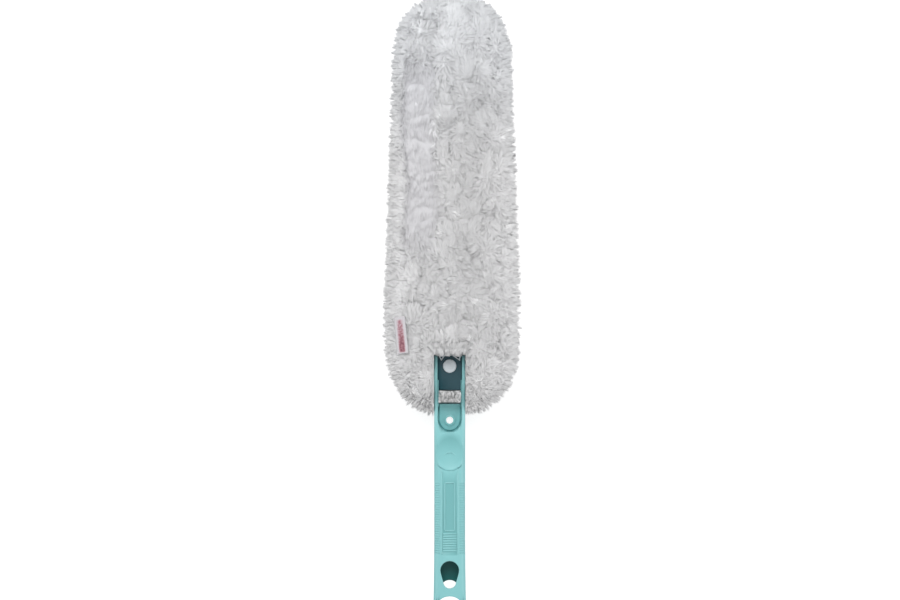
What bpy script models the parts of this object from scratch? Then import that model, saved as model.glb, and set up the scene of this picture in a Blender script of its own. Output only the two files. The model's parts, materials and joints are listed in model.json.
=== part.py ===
"""Hand duster: a moulded handle whose fork carries a tilting block, a white trussed frame
that clicks into the block with a round button, and a plush sleeve over the frame.

Metres, +Z up. The duster lies on its back: +X is across it, +Y runs from the handle's
end to the tip of the head, and +Z is the side with the button, which the user sees.
Handle shapes are measured from the handle's end, head shapes from the tilt pivot.
"""

import math

import bmesh
import bpy
import numpy as np
from mathutils import Matrix, Vector

MM = 0.001

# Clearances that several pieces share
FIT_GAP = 0.3 * MM  # between rigid pieces that touch or slide
SOFT_GAP = 0.4 * MM  # between layers of cloth
PIN_GAP = 0.15 * MM  # round a pivot pin
OVERRUN = 5.0 * MM  # how far a cutter runs past what it cuts

# Handle: outer shape
PIVOT_HEIGHT = 250.0 * MM  # from the handle's end to the tilt axis
FORK_REACH = 7.0 * MM  # of the fork's tips past the tilt axis
HANDLE_WIDTH = 31.0 * MM
HANDLE_END_WIDTH = 33.0 * MM
HANDLE_DEPTH = 20.0 * MM
FLARE_HEIGHT = 72.0 * MM  # below this the handle widens to its end
FLARE_STEP_SHARES = (0.0, 0.3, 0.65, 1.0)
GRIP_CORNER = 6.0 * MM
FORK_CORNER = 2.6 * MM
NECK_DROP = 74.0 * MM  # below the tilt axis, where the corners turn from grip to fork
NECK_BLEND = 18.0 * MM
TIP_CORNER = 4.0 * MM
END_CORNER = 1.5 * MM
CORNER_STEPS = 4

# Handle: pole socket and the openings of its end
SOCKET_DEPTH = 132.0 * MM
SOCKET_WALL = 2.8 * MM
SOCKET_DRAFT = 1.2 * MM  # the socket's walls close in by this much
SOCKET_CORNER = 3.6 * MM
CLICK_HOLE_TOP = 51.4 * MM
CLICK_HOLE_BOTTOM = 23.8 * MM
CLICK_HOLE_RADIUS = 9.4 * MM
CLICK_HOLE_FOOT_RADIUS = 6.2 * MM
FRONT_ARCH_TOP = 16.0 * MM
FRONT_ARCH_RADIUS = 15.0 * MM
BACK_SLOT_TOP = 31.0 * MM
BACK_SLOT_RADIUS = 9.4 * MM

# Handle: grip panel, its ribs and the bare name plate
GRIP_PANEL_BOTTOM = 57.0 * MM
GRIP_PANEL_WIDTH = 17.2 * MM
GRIP_PANEL_DEPTH = 0.5 * MM
GRIP_BEAD_WIDTH = 1.3 * MM
GRIP_BEAD_HEIGHT = 0.3 * MM  # above the handle's front
GRIP_BEAD_END = 1.3 * MM  # from the dish, and from the panel's foot
THUMB_RIB_COUNT = 8
THUMB_RIB_PITCH = 2.4 * MM
THUMB_RIB_WIDTH = 1.2 * MM
THUMB_RIB_LENGTH = 14.0 * MM
THUMB_RIB_START = 61.0 * MM
PLATE_BOTTOM = 81.0 * MM
PLATE_TOP = 130.0 * MM
PLATE_WIDTH = 11.0 * MM
PLATE_LINE = 0.9 * MM
PLATE_CORNER = 2.0 * MM
SIDE_RIB_COUNT = 30
SIDE_RIB_PITCH = 2.4 * MM
SIDE_RIB_GAP = 1.0 * MM
SIDE_RIB_DEPTH = 0.35 * MM
SIDE_RIB_START = 58.5 * MM
SIDE_RIB_FOOT = -5.0 * MM  # how far round to the back they reach
SIDE_RIB_EDGE = 1.2 * MM  # from the grip panel to the ribs

# Handle: thumb dish, the line under it and the raised crescent in it
DISH_DROP = 70.0 * MM  # of its upper edge below the tilt axis
DISH_LENGTH = 38.7 * MM
DISH_WIDTH = 31.5 * MM
DISH_DEPTH = 3.2 * MM
DISH_BALL = 20.0 * MM  # depth half axis of the ellipsoid that scoops it
DISH_LINE_RADIUS = 15.3 * MM
DISH_LINE_WIDTH = 0.8 * MM
DISH_LINE_DEPTH = 0.4 * MM
DISH_LINE_SPREAD = math.radians(58.0)  # to each side
DISH_OVERLAP = 4.7 * MM  # of the grip panel into the dish
CRESCENT_RADIUS = 6.4 * MM
CRESCENT_WIDTH = 0.9 * MM
CRESCENT_HEIGHT = 0.45 * MM
CRESCENT_DROP = 7.5 * MM  # of its centre below the dish's
CRESCENT_SPREAD = math.radians(54.0)  # to each side

# Handle: recess, hook hole, window and fork. Drops are measured down from the tilt axis.
RECESS_RADIUS = 11.8 * MM
RECESS_DROP = 70.0 * MM
RECESS_DEPTH = 6.0 * MM
MOAT_WIDTH = 1.7 * MM  # a groove round the recess's floor
MOAT_DEPTH = 1.2 * MM
HOOK_HOLE_RADIUS = 3.5 * MM
HOOK_RING_RADIUS = 5.6 * MM
HOOK_RING_HEIGHT = 0.8 * MM
WEB_DROP = 42.0 * MM
WEB_THICKNESS = 3.0 * MM
BACK_POCKET_DROP = 102.0 * MM
BACK_RIB_COUNT = 3
BACK_RIB_THICKNESS = 1.6 * MM
BACK_RIB_DEPTH = 7.0 * MM
CHANNEL_WIDTH = 24.4 * MM
LIP_WIDTH = 1.2 * MM
LIP_THICKNESS = 1.7 * MM
LIP_DROP = 18.0 * MM

# Pivot pins
PIN_RADIUS = 2.2 * MM
PIN_HEAD_RADIUS = 4.3 * MM
PIN_HEAD_THICKNESS = 1.3 * MM
PIN_DOME = 0.5 * MM
PIN_ENTRY = 2.3 * MM  # of each pin into the block's flank

# Tilting block
BLOCK_TAIL = 28.0 * MM  # below the pivot
BLOCK_RISE = 20.0 * MM  # above the pivot
BLOCK_FRONT = 5.0 * MM  # its face, in front of the pivot
BLOCK_BACK = 7.0 * MM
BLOCK_FRONT_WALL = 2.0 * MM
BLOCK_BACK_WALL = 2.0 * MM
BLOCK_FLANK = 2.8 * MM
BLOCK_FLOOR = 3.4 * MM
BLOCK_CORNER = 1.2 * MM

# Click button and its spring
BUTTON_RADIUS = 6.7 * MM
BUTTON_DROP = 4.0 * MM  # of its centre below the pivot
BUTTON_PROUD = 1.2 * MM
BUTTON_TRAVEL = 3.4 * MM
BUTTON_DOME = 0.6 * MM
BUTTON_CAP = 2.0 * MM
BUTTON_FLANGE = 1.0 * MM  # wider than the button, so that it stays under the block's face
BUTTON_FLANGE_THICKNESS = 1.3 * MM
BUTTON_BORE_RADIUS = 4.6 * MM
SPRING_RADIUS = 3.6 * MM
SPRING_WIRE = 0.6 * MM
SPRING_TURNS = 4
SPRING_POINTS_A_TURN = 10
SPRING_END_SHARE = 0.16  # of its height, which the first and the last turn climb

# Frame: tongue, apron with its lugs, and the trussed paddle
CUP_FLOOR = 1.0 * MM
APRON_THICKNESS = 1.3 * MM
APRON_BOTTOM = 6.5 * MM  # above the pivot
LUG_BOTTOM = 1.2 * MM
LUG_EYE_SHARE = 0.45
LEFT_LUG_SHARES = (-0.98, -0.40, -0.72)  # of the apron's half width: two roots and the tip
RIGHT_LUG_SHARES = (0.22, 0.98, 0.88)
BRIDGE_HEIGHT = 6.0 * MM
PADDLE_THICKNESS = 5.0 * MM
PADDLE_RISE = 2.0 * MM  # from the bridge's foot to the paddle's rounded start
PADDLE_START_DOME = 38.0 * MM
PADDLE_CLEAR = 0.8 * MM  # from the seam to the paddle's edge
PADDLE_RIM = 5.0 * MM
PADDLE_SPINE = 7.0 * MM
PADDLE_STRUT = 3.4 * MM
PADDLE_BAYS = 8
PADDLE_BAYS_BOTTOM = 62.0 * MM
PADDLE_BAYS_TOP = 312.0 * MM

# Head: outline of the plush sleeve, seen from the front
HEAD_RISE = 366.0 * MM  # of its tip above the pivot
SKIRT_DROP = 52.5 * MM  # of its lower edge below the pivot
HEAD_WIDTH = 138.0 * MM
HEAD_TOP_WIDTH = 121.0 * MM
WIDEST_HEIGHT = 62.0 * MM
TAPER_HEIGHT = 302.0 * MM
TOP_DOME = 60.0 * MM
BOTTOM_DOME = 84.0 * MM
DOME_POWER = 2.3
SECTION_POWER = 2.3
HEAD_FRONT = 30.0 * MM
HEAD_BACK = 29.0 * MM
REST_DEPTH = 26.0 * MM  # the back is flat here, where the head lies on a surface

# Head: layers of the sleeve
PILE_LENGTH = 22.0 * MM
BACKING = 1.2 * MM
MOUTH_FRONT = 7.6 * MM  # depth of the pocket in front of the pivot, at the mouth
MOUTH_DEEP = 11.9 * MM  # and behind it
POCKET_SLACK = 1.0 * MM  # between the paddle's faces and the pocket
POCKET_NARROWS = 30.0 * MM  # above the pivot, where the pocket starts to close on the paddle
POCKET_NARROW = 72.0 * MM
POCKET_POWER = 4.0
POCKET_CLOSE = 8.0 * MM  # in which the pocket rounds off at its ends
SEAM_GAP = 0.3 * MM
SEAM_INSET = 1.7 * MM  # from the pocket's edge to the seam
SEAM_WIDTH = 3.0 * MM
SEAM_THICKNESS = 1.2 * MM
OUTLINE_STEPS = 40
POCKET_STEPS_AROUND = 6

# Head: wads that the pile gathers in, in rows on both panels. A wad takes three steps each way,
# of which the first lies in its crease.
WAD_ROWS = 17
WADS_AROUND = 8
WAD_STEPS = 3
WAD_DEPTH = 5.0 * MM  # of the deepest creases
WAD_SWAY = 5.0 * MM  # how far the creases across the head bend up and down
WAD_SHIFTS = (0, 1, 0, 2, 1)  # steps that the rows are set off sideways, in turn
WAD_TOP_SHARE = 0.30  # of the depth, by which whole wads may lie lower
WAD_CREASE_SHARE = 0.60  # of the depth, which every crease has
WAD_EDGE_SHARE = 0.30  # of the depth, which is left at the head's side edges
WAD_ROW_PHASE = math.radians(137.0)  # phases that make each wad and crease unlike the next
WAD_COLUMN_PHASE = math.radians(109.0)
WAD_CROSS_PHASE = math.radians(40.0)
WAD_BEND_COUNT = 3  # of half waves in a crease across the head
REST_FADE = 8.0 * MM  # from the flat back to where its wads are whole
END_CROWD_SHARE = 0.3  # how much closer the rows lie at the head's two ends

# Head: mouth in the front of the sleeve, with its binding
MOUTH_WIDTH = 40.0 * MM
MOUTH_RISE = 14.0 * MM
MOUTH_BACK = 11.6 * MM
BINDING_RADIUS = 1.1 * MM
BINDING_CORNER = 6.0 * MM
BINDING_STEP = 4.0 * MM
BINDING_END = 4.0 * MM  # above where the mouth's side meets the cloth's lower edge

# Tag sewn on the sleeve
TAG_WIDTH = 12.0 * MM
TAG_LENGTH = 37.0 * MM
TAG_THICKNESS = 0.8 * MM
TAG_INSET = 20.0 * MM  # of its middle from the head's side
TAG_HEIGHT = 27.0 * MM
TAG_SINK = 2.6 * MM  # into the plush
TAG_SEAT_MARGIN = 2.0 * MM
TAG_LEAN = math.radians(24.0)  # outwards, as the plush falls away to the side
TAG_TURN = math.radians(7.0)

# Overall frame
OVERALL_LENGTH = PIVOT_HEIGHT + HEAD_RISE
FORK_TIP = PIVOT_HEIGHT + FORK_REACH
HALF_DEPTH = HANDLE_DEPTH / 2
HALF_WIDTH = HANDLE_WIDTH / 2
BLOCK_HALF = CHANNEL_WIDTH / 2 - FIT_GAP
TONGUE_HALF = BLOCK_HALF - BLOCK_FLANK - FIT_GAP
TONGUE_FRONT = BLOCK_FRONT - BLOCK_FRONT_WALL - FIT_GAP
TONGUE_BACK = BLOCK_BACK - BLOCK_BACK_WALL - FIT_GAP
CUP_BOTTOM = -TONGUE_BACK + CUP_FLOOR
APRON_HALF = BLOCK_HALF - FIT_GAP
NECK_HEIGHT = PIVOT_HEIGHT - NECK_DROP
DISH_TOP = PIVOT_HEIGHT - DISH_DROP
DISH_BOTTOM = DISH_TOP - DISH_LENGTH
DISH_MIDDLE = (DISH_TOP + DISH_BOTTOM) / 2
GRIP_PANEL_TOP = DISH_BOTTOM + DISH_OVERLAP
RECESS_BOTTOM = PIVOT_HEIGHT - RECESS_DROP
HOOK_HEIGHT = RECESS_BOTTOM + RECESS_RADIUS
WEB_TOP = PIVOT_HEIGHT - WEB_DROP
BACK_POCKET_BOTTOM = PIVOT_HEIGHT - BACK_POCKET_DROP
LIP_TOP = PIVOT_HEIGHT - LIP_DROP
TAG_ACROSS = HEAD_WIDTH / 2 - TAG_INSET
BACKING_INSET = PILE_LENGTH + SOFT_GAP
SEAM_EDGE = BACKING_INSET + BACKING + SEAM_INSET
PADDLE_INSET = SEAM_EDGE + SEAM_WIDTH + PADDLE_CLEAR
PILE_STEPS_ALONG = WAD_ROWS * WAD_STEPS
PILE_STEPS_AROUND = WADS_AROUND * WAD_STEPS

ROUND_STEPS = 24
SMOOTH_ANGLE = math.radians(35.0)

TURQUOISE = (0.235, 0.590, 0.590)
PETROL = (0.022, 0.070, 0.088)
WHITE_PLASTIC = (0.60, 0.66, 0.70)
PLUSH_WHITE = (0.62, 0.62, 0.63)
CLOTH_WHITE = (0.66, 0.66, 0.67)
STEEL = (0.56, 0.57, 0.58)


def clear_scene():
    """Removes every object that the file starts with."""
    for obj in list(bpy.data.objects):
        bpy.data.objects.remove(obj)


def material(name, colour, roughness, metallic=0.0):
    """A Principled material of one colour."""
    made = bpy.data.materials.new(name)
    made.use_nodes = True
    shader = made.node_tree.nodes["Principled BSDF"]
    shader.inputs["Base Color"].default_value = (*colour, 1.0)
    shader.inputs["Roughness"].default_value = roughness
    shader.inputs["Metallic"].default_value = metallic
    made.diffuse_color = (*colour, 1.0)
    return made


def empty(name, place, parent=None):
    """An empty at a place in its parent's frame."""
    made = bpy.data.objects.new(name, None)
    bpy.context.scene.collection.objects.link(made)
    made.location = place
    made.parent = parent
    return made


def node(name, mesh, finish, parent):
    """One sub-part of the object."""
    mesh.name = name
    mesh.shade_smooth()
    mesh.set_sharp_from_angle(angle=SMOOTH_ANGLE)
    made = bpy.data.objects.new(name, mesh)
    made.data.materials.append(finish)
    made.parent = parent
    bpy.context.scene.collection.objects.link(made)
    return made


def helper(name, mesh, parent):
    """A shape that only cuts or joins, left out of renders."""
    made = bpy.data.objects.new(name, mesh)
    made.parent = parent
    made.hide_render = True
    made.display_type = "WIRE"
    bpy.context.scene.collection.objects.link(made)
    return made


def boolean(target, name, mesh, operation):
    """Adds a Boolean modifier that uses this mesh, placed as the target is."""
    other = helper(f"{target.name}_{name}", mesh, target.parent)
    modifier = target.modifiers.new(name, "BOOLEAN")
    modifier.operation = operation
    modifier.solver = "EXACT"
    modifier.object = other


def cut(target, name, mesh):
    """Takes the mesh away from the target."""
    boolean(target, name, mesh, "DIFFERENCE")


def join(target, name, mesh):
    """Adds the mesh to the target's solid."""
    boolean(target, name, mesh, "UNION")


def from_bmesh(shape):
    """A mesh from a bmesh, with its faces turned outwards."""
    bmesh.ops.recalc_face_normals(shape, faces=shape.faces)
    mesh = bpy.data.meshes.new("shape")
    shape.to_mesh(mesh)
    shape.free()
    return mesh


def box_into(shape, low, high):
    """Adds a box from its lowest to its highest corner to a bmesh."""
    low, high = Vector(low), Vector(high)
    size = high - low
    place = Matrix.Translation((low + high) / 2) @ Matrix.Diagonal((*size, 1.0))
    bmesh.ops.create_cube(shape, size=1.0, matrix=place)


def boxes(*corners):
    """A mesh of separate boxes, each given as (lowest corner, highest corner)."""
    shape = bmesh.new()
    for low, high in corners:
        box_into(shape, low, high)
    return from_bmesh(shape)


def prism_into(shape, outline, low, high, axis="Z"):
    """Adds an outline, carried along an axis from low to high, to a bmesh.

    The outline's points are (x, y) for Z, (x, z) for Y and (y, z) for X.
    """
    if axis == "Z":
        ends = [[(a, b, at) for a, b in outline] for at in (low, high)]
    elif axis == "Y":
        ends = [[(a, at, b) for a, b in outline] for at in (low, high)]
    else:
        ends = [[(at, a, b) for a, b in outline] for at in (low, high)]
    rings = [[shape.verts.new(p) for p in end] for end in ends]
    count = len(outline)
    shape.faces.new(rings[0][::-1])
    shape.faces.new(rings[1])
    for i in range(count):
        j = (i + 1) % count
        shape.faces.new((rings[0][i], rings[0][j], rings[1][j], rings[1][i]))


def prism(outline, low, high, axis="Z"):
    """A mesh of one outline carried along an axis."""
    shape = bmesh.new()
    prism_into(shape, outline, low, high, axis)
    return from_bmesh(shape)


def arc(centre, radius, start, end, steps):
    """Points on an arc, with angles in radians from the first axis."""
    angles = np.linspace(start, end, steps + 1)
    return [(centre[0] + radius * math.cos(a), centre[1] + radius * math.sin(a)) for a in angles]


def circle(centre, radius, steps=ROUND_STEPS):
    """Points on a whole circle."""
    return arc(centre, radius, 0.0, 2 * math.pi, steps)[:-1]


def rounded_rectangle(low, high, corner, steps=CORNER_STEPS):
    """An outline with four equal round corners."""
    x0, y0 = low
    x1, y1 = high
    quarter = math.pi / 2
    centres = ((x1 - corner, y1 - corner), (x0 + corner, y1 - corner))
    centres += ((x0 + corner, y0 + corner), (x1 - corner, y0 + corner))
    points = []
    for i, centre in enumerate(centres):
        points += arc(centre, corner, i * quarter, (i + 1) * quarter, steps)
    return points


def slot_outline(radius, low, high, steps=ROUND_STEPS // 2):
    """An upright slot with a round top at high and a square foot at low."""
    return [(-radius, low), (radius, low)] + arc((0.0, high - radius), radius, 0.0, math.pi, steps)


def egg_outline(top, bottom, radius, foot_radius, steps=ROUND_STEPS // 2):
    """The outline round a large circle below top and a small one above bottom."""
    upper, lower = top - radius, bottom + foot_radius
    lean = math.asin((radius - foot_radius) / (upper - lower))
    points = arc((0.0, upper), radius, -lean, math.pi + lean, steps)
    return points + arc((0.0, lower), foot_radius, math.pi + lean, 2 * math.pi - lean, steps)


def turned(profile, steps=ROUND_STEPS, axis="Z"):
    """A solid of revolution. The profile's points are (radius, along), and both ends close on the axis."""
    shape = bmesh.new()
    rings = []
    for radius, along in profile:
        if radius == 0.0:
            rings.append([shape.verts.new((0.0, 0.0, along))])
            continue
        rings.append([shape.verts.new((x, y, along)) for x, y in circle((0.0, 0.0), radius, steps)])
    for below, above in zip(rings, rings[1:]):
        for i in range(steps):
            j = (i + 1) % steps
            corners = [ring[k % len(ring)] for ring, k in ((below, i), (below, j), (above, j), (above, i))]
            shape.faces.new(list(dict.fromkeys(corners)))
    if axis == "X":
        bmesh.ops.rotate(shape, verts=shape.verts, matrix=Matrix.Rotation(math.pi / 2, 3, "Y"))
    return from_bmesh(shape)


def cylinder(radius, low, high, axis="Z", steps=ROUND_STEPS):
    """A closed cylinder on an axis through the origin."""
    return turned([(0.0, low), (radius, low), (radius, high), (0.0, high)], steps, axis)


def moved(mesh, offset):
    """The same mesh, shifted."""
    mesh.transform(Matrix.Translation(offset))
    return mesh


def ellipsoid(centre, half_axes, steps=ROUND_STEPS):
    """A closed ellipsoid."""
    shape = bmesh.new()
    place = Matrix.Translation(centre) @ Matrix.Diagonal((*half_axes, 1.0))
    bmesh.ops.create_uvsphere(shape, u_segments=steps * 2, v_segments=steps, radius=1.0, matrix=place)
    return from_bmesh(shape)


# Handle


def handle_half_width(height):
    """Half the handle's width: straight, then widening to the end."""
    flare = max(0.0, 1.0 - height / FLARE_HEIGHT) ** 2
    return HALF_WIDTH + flare * (HANDLE_END_WIDTH - HANDLE_WIDTH) / 2


def handle_blank():
    """The handle's outer skin: rounded rectangles lofted from the end to the fork's tips."""
    heights = [FLARE_HEIGHT * share for share in FLARE_STEP_SHARES]
    heights += [NECK_HEIGHT - NECK_BLEND, NECK_HEIGHT, NECK_HEIGHT + NECK_BLEND, FORK_TIP + OVERRUN]
    shape = bmesh.new()
    rings = []
    for height in heights:
        blend = min(1.0, max(0.0, (height - NECK_HEIGHT) / NECK_BLEND / 2 + 0.5))
        corner = GRIP_CORNER + (FORK_CORNER - GRIP_CORNER) * blend
        half = handle_half_width(height)
        outline = rounded_rectangle((-half, -HALF_DEPTH), (half, HALF_DEPTH), corner)
        rings.append([shape.verts.new((x, height, z)) for x, z in outline])
    for below, above in zip(rings, rings[1:]):
        for i in range(len(below)):
            j = (i + 1) % len(below)
            shape.faces.new((below[i], below[j], above[j], above[i]))
    shape.faces.new(rings[0])
    shape.faces.new(rings[-1])
    return from_bmesh(shape)


def socket_core():
    """The hollow that takes a pole's plug, closing in slightly towards its end."""
    shape = bmesh.new()
    rings = []
    for height, draft in ((-OVERRUN, 0.0), (SOCKET_DEPTH, SOCKET_DRAFT)):
        half = HALF_WIDTH - SOCKET_WALL - draft
        deep = HALF_DEPTH - SOCKET_WALL - draft
        outline = rounded_rectangle((-half, -deep), (half, deep), SOCKET_CORNER)
        rings.append([shape.verts.new((x, height, z)) for x, z in outline])
    for i in range(len(rings[0])):
        j = (i + 1) % len(rings[0])
        shape.faces.new((rings[0][i], rings[0][j], rings[1][j], rings[1][i]))
    shape.faces.new(rings[0])
    shape.faces.new(rings[1])
    return from_bmesh(shape)


def handle_side_profile():
    """The handle from the side, which rounds the fork's tips and the end's edges."""
    low, high = -HALF_DEPTH - OVERRUN, HALF_DEPTH + OVERRUN
    quarter = math.pi / 2
    inner, outer = FORK_TIP - TIP_CORNER, HALF_DEPTH - TIP_CORNER
    end = HALF_DEPTH - END_CORNER
    points = arc((inner, outer), TIP_CORNER, 0.0, quarter, CORNER_STEPS)
    points += [(inner, high), (END_CORNER, high)]
    points += arc((END_CORNER, end), END_CORNER, quarter, 2 * quarter, 2)
    points += arc((END_CORNER, -end), END_CORNER, 2 * quarter, 3 * quarter, 2)
    points += [(END_CORNER, low), (inner, low)]
    points += arc((inner, -outer), TIP_CORNER, 3 * quarter, 4 * quarter, CORNER_STEPS)
    return points


def rib_outline(side):
    """A groove round one front corner of the grip, seen along the handle."""
    inner = GRIP_PANEL_WIDTH / 2 + SIDE_RIB_EDGE
    wide, deep = HALF_WIDTH - SIDE_RIB_DEPTH, HALF_DEPTH - SIDE_RIB_DEPTH
    corner = GRIP_CORNER - SIDE_RIB_DEPTH
    points = arc((wide - corner, deep - corner), corner, 0.0, math.pi / 2, CORNER_STEPS)
    points += [(inner, deep), (inner, HALF_DEPTH + OVERRUN), (HALF_WIDTH + OVERRUN, HALF_DEPTH + OVERRUN)]
    points += [(HALF_WIDTH + OVERRUN, SIDE_RIB_FOOT), (wide, SIDE_RIB_FOOT)]
    return [(side * x, z) for x, z in points]


def grip_cuts(handle):
    """The sunk grip panel and the fine ribs down both sides of the grip."""
    half = GRIP_PANEL_WIDTH / 2
    floor = HALF_DEPTH - GRIP_PANEL_DEPTH
    panel = rounded_rectangle((-half, GRIP_PANEL_BOTTOM), (half, GRIP_PANEL_TOP), PLATE_CORNER, 2)
    cut(handle, "grip_panel", prism(panel, floor, HALF_DEPTH + OVERRUN))
    grooves = bmesh.new()
    for i in range(SIDE_RIB_COUNT):
        low = SIDE_RIB_START + i * SIDE_RIB_PITCH
        for side in (-1.0, 1.0):
            prism_into(grooves, rib_outline(side), low, low + SIDE_RIB_GAP, "Y")
    cut(handle, "side_ribs", from_bmesh(grooves))


def grip_beads(handle):
    """The two raised beads along the panel's sides."""
    root = HALF_DEPTH - 2 * GRIP_PANEL_DEPTH
    outer = GRIP_PANEL_WIDTH / 2 + FIT_GAP
    inner = outer - GRIP_BEAD_WIDTH
    low, high = GRIP_PANEL_BOTTOM + GRIP_BEAD_END, DISH_BOTTOM - GRIP_BEAD_END
    beads = bmesh.new()
    for start in (inner, -outer):
        bead = rounded_rectangle((start, low), (start + GRIP_BEAD_WIDTH, high), GRIP_BEAD_WIDTH / 3, 2)
        prism_into(beads, bead, root, HALF_DEPTH + GRIP_BEAD_HEIGHT)
    join(handle, "grip_beads", from_bmesh(beads))


def grip_ribs(handle):
    """The thumb ribs and the bare frame of the name plate, standing on the panel."""
    floor = HALF_DEPTH - GRIP_PANEL_DEPTH
    root = floor - GRIP_PANEL_DEPTH
    half = THUMB_RIB_LENGTH / 2
    ribs = []
    for i in range(THUMB_RIB_COUNT):
        low = THUMB_RIB_START + i * THUMB_RIB_PITCH
        ribs.append(((-half, low, root), (half, low + THUMB_RIB_WIDTH, HALF_DEPTH)))
    join(handle, "thumb_ribs", boxes(*ribs))
    half = PLATE_WIDTH / 2
    outer = rounded_rectangle((-half, PLATE_BOTTOM), (half, PLATE_TOP), PLATE_CORNER, 3)
    low, high = PLATE_BOTTOM + PLATE_LINE, PLATE_TOP - PLATE_LINE
    half -= PLATE_LINE
    inner = rounded_rectangle((-half, low), (half, high), PLATE_CORNER - PLATE_LINE, 3)
    join(handle, "name_plate", prism(outer, root, HALF_DEPTH))
    cut(handle, "name_plate_bed", prism(inner, floor, HALF_DEPTH + OVERRUN))


def end_cuts(handle):
    """The click hole and arch in the front wall, and the slot in the back wall."""
    egg = egg_outline(CLICK_HOLE_TOP, CLICK_HOLE_BOTTOM, CLICK_HOLE_RADIUS, CLICK_HOLE_FOOT_RADIUS)
    cut(handle, "click_hole", prism(egg, 0.0, HALF_DEPTH + OVERRUN))
    centre = (0.0, FRONT_ARCH_TOP - FRONT_ARCH_RADIUS)
    arch = circle(centre, FRONT_ARCH_RADIUS, 2 * ROUND_STEPS)
    cut(handle, "front_arch", prism(arch, 0.0, HALF_DEPTH + OVERRUN))
    slot = slot_outline(BACK_SLOT_RADIUS, -OVERRUN, BACK_SLOT_TOP)
    cut(handle, "back_slot", prism(slot, -HALF_DEPTH - OVERRUN, 0.0))


def dish_scoop():
    """The ellipsoid that scoops the thumb dish out of the front face."""
    share = math.sqrt(1.0 - (1.0 - DISH_DEPTH / DISH_BALL) ** 2)
    half_axes = (DISH_WIDTH / 2 / share, DISH_LENGTH / 2 / share, DISH_BALL)
    return ellipsoid((0.0, DISH_MIDDLE, HALF_DEPTH + DISH_BALL - DISH_DEPTH), half_axes)


def band_outline(middle, radius, width, towards, spread):
    """An arched band on the handle's front, round a direction and as far to each side of it."""
    start, end = towards - spread, towards + spread
    points = arc((0.0, middle), radius + width / 2, start, end, ROUND_STEPS)
    return points + arc((0.0, middle), radius - width / 2, end, start, ROUND_STEPS)


def dish_marks(handle):
    """The line round the dish's lower edge, and the crescent that stands on its floor."""
    up = math.pi / 2
    middle = DISH_BOTTOM + DISH_LINE_RADIUS
    line = band_outline(middle, DISH_LINE_RADIUS, DISH_LINE_WIDTH, -up, DISH_LINE_SPREAD)
    low = HALF_DEPTH - GRIP_PANEL_DEPTH - DISH_LINE_DEPTH
    cut(handle, "dish_line", prism(line, low, HALF_DEPTH + OVERRUN))
    middle = DISH_MIDDLE - CRESCENT_DROP
    crescent = band_outline(middle, CRESCENT_RADIUS, CRESCENT_WIDTH, up, CRESCENT_SPREAD)
    floor = HALF_DEPTH - DISH_DEPTH
    join(handle, "crescent", prism(crescent, floor - CRESCENT_WIDTH, floor + CRESCENT_HEIGHT))


def recess_outline(radius):
    """The recess seen from the front: a round foot, running up past the web's edge."""
    top = WEB_TOP + OVERRUN
    foot = arc((0.0, HOOK_HEIGHT), radius, math.pi, 2 * math.pi, ROUND_STEPS)
    return [(radius, top), (-radius, top)] + foot


def neck_cuts(handle):
    """The recess with its hook hole, the pocket behind it, and the fork's channel."""
    floor = HALF_DEPTH - RECESS_DEPTH
    web_back = floor - WEB_THICKNESS
    cut(handle, "recess", prism(recess_outline(RECESS_RADIUS), floor - MOAT_DEPTH, HALF_DEPTH + OVERRUN))
    root = floor - (WEB_THICKNESS + MOAT_DEPTH) / 2
    join(handle, "recess_floor", prism(recess_outline(RECESS_RADIUS - MOAT_WIDTH), root, floor))
    ring = cylinder(HOOK_RING_RADIUS, root, floor + HOOK_RING_HEIGHT)
    join(handle, "hook_ring", moved(ring, (0.0, HOOK_HEIGHT, 0.0)))
    half = CHANNEL_WIDTH / 2
    pocket = rounded_rectangle(
        (-RECESS_RADIUS, BACK_POCKET_BOTTOM), (RECESS_RADIUS, WEB_TOP + OVERRUN), RECESS_RADIUS / 2
    )
    cut(handle, "back_pocket", prism(pocket, -HALF_DEPTH - OVERRUN, web_back))
    channel = (-half, WEB_TOP, -HALF_DEPTH - OVERRUN), (half, FORK_TIP + 2 * OVERRUN, HALF_DEPTH + OVERRUN)
    cut(handle, "channel", boxes(channel))


def neck_joins(handle):
    """Ribs across the back pocket, and the lips that stop the block's tail."""
    half = RECESS_RADIUS + SOCKET_WALL / 2
    web_back = HALF_DEPTH - RECESS_DEPTH - WEB_THICKNESS
    pitch = (WEB_TOP - BACK_POCKET_BOTTOM) / (BACK_RIB_COUNT + 1)
    ribs = []
    for i in range(BACK_RIB_COUNT):
        low = BACK_POCKET_BOTTOM + pitch * (i + 1) - BACK_RIB_THICKNESS / 2
        if abs(low - HOOK_HEIGHT) > HOOK_RING_RADIUS:
            root = web_back + WEB_THICKNESS / 2
            ribs.append(((-half, low, web_back - BACK_RIB_DEPTH), (half, low + BACK_RIB_THICKNESS, root)))
    join(handle, "back_ribs", boxes(*ribs))
    outer = CHANNEL_WIDTH / 2 + FORK_CORNER / 2
    inner = CHANNEL_WIDTH / 2 - LIP_WIDTH
    low = BLOCK_FRONT + FIT_GAP
    high = low + LIP_THICKNESS
    foot = WEB_TOP - FORK_CORNER
    lips = ((inner, foot, low), (outer, LIP_TOP, high)), ((-outer, foot, low), (-inner, LIP_TOP, high))
    join(handle, "lips", boxes(*lips))


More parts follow.
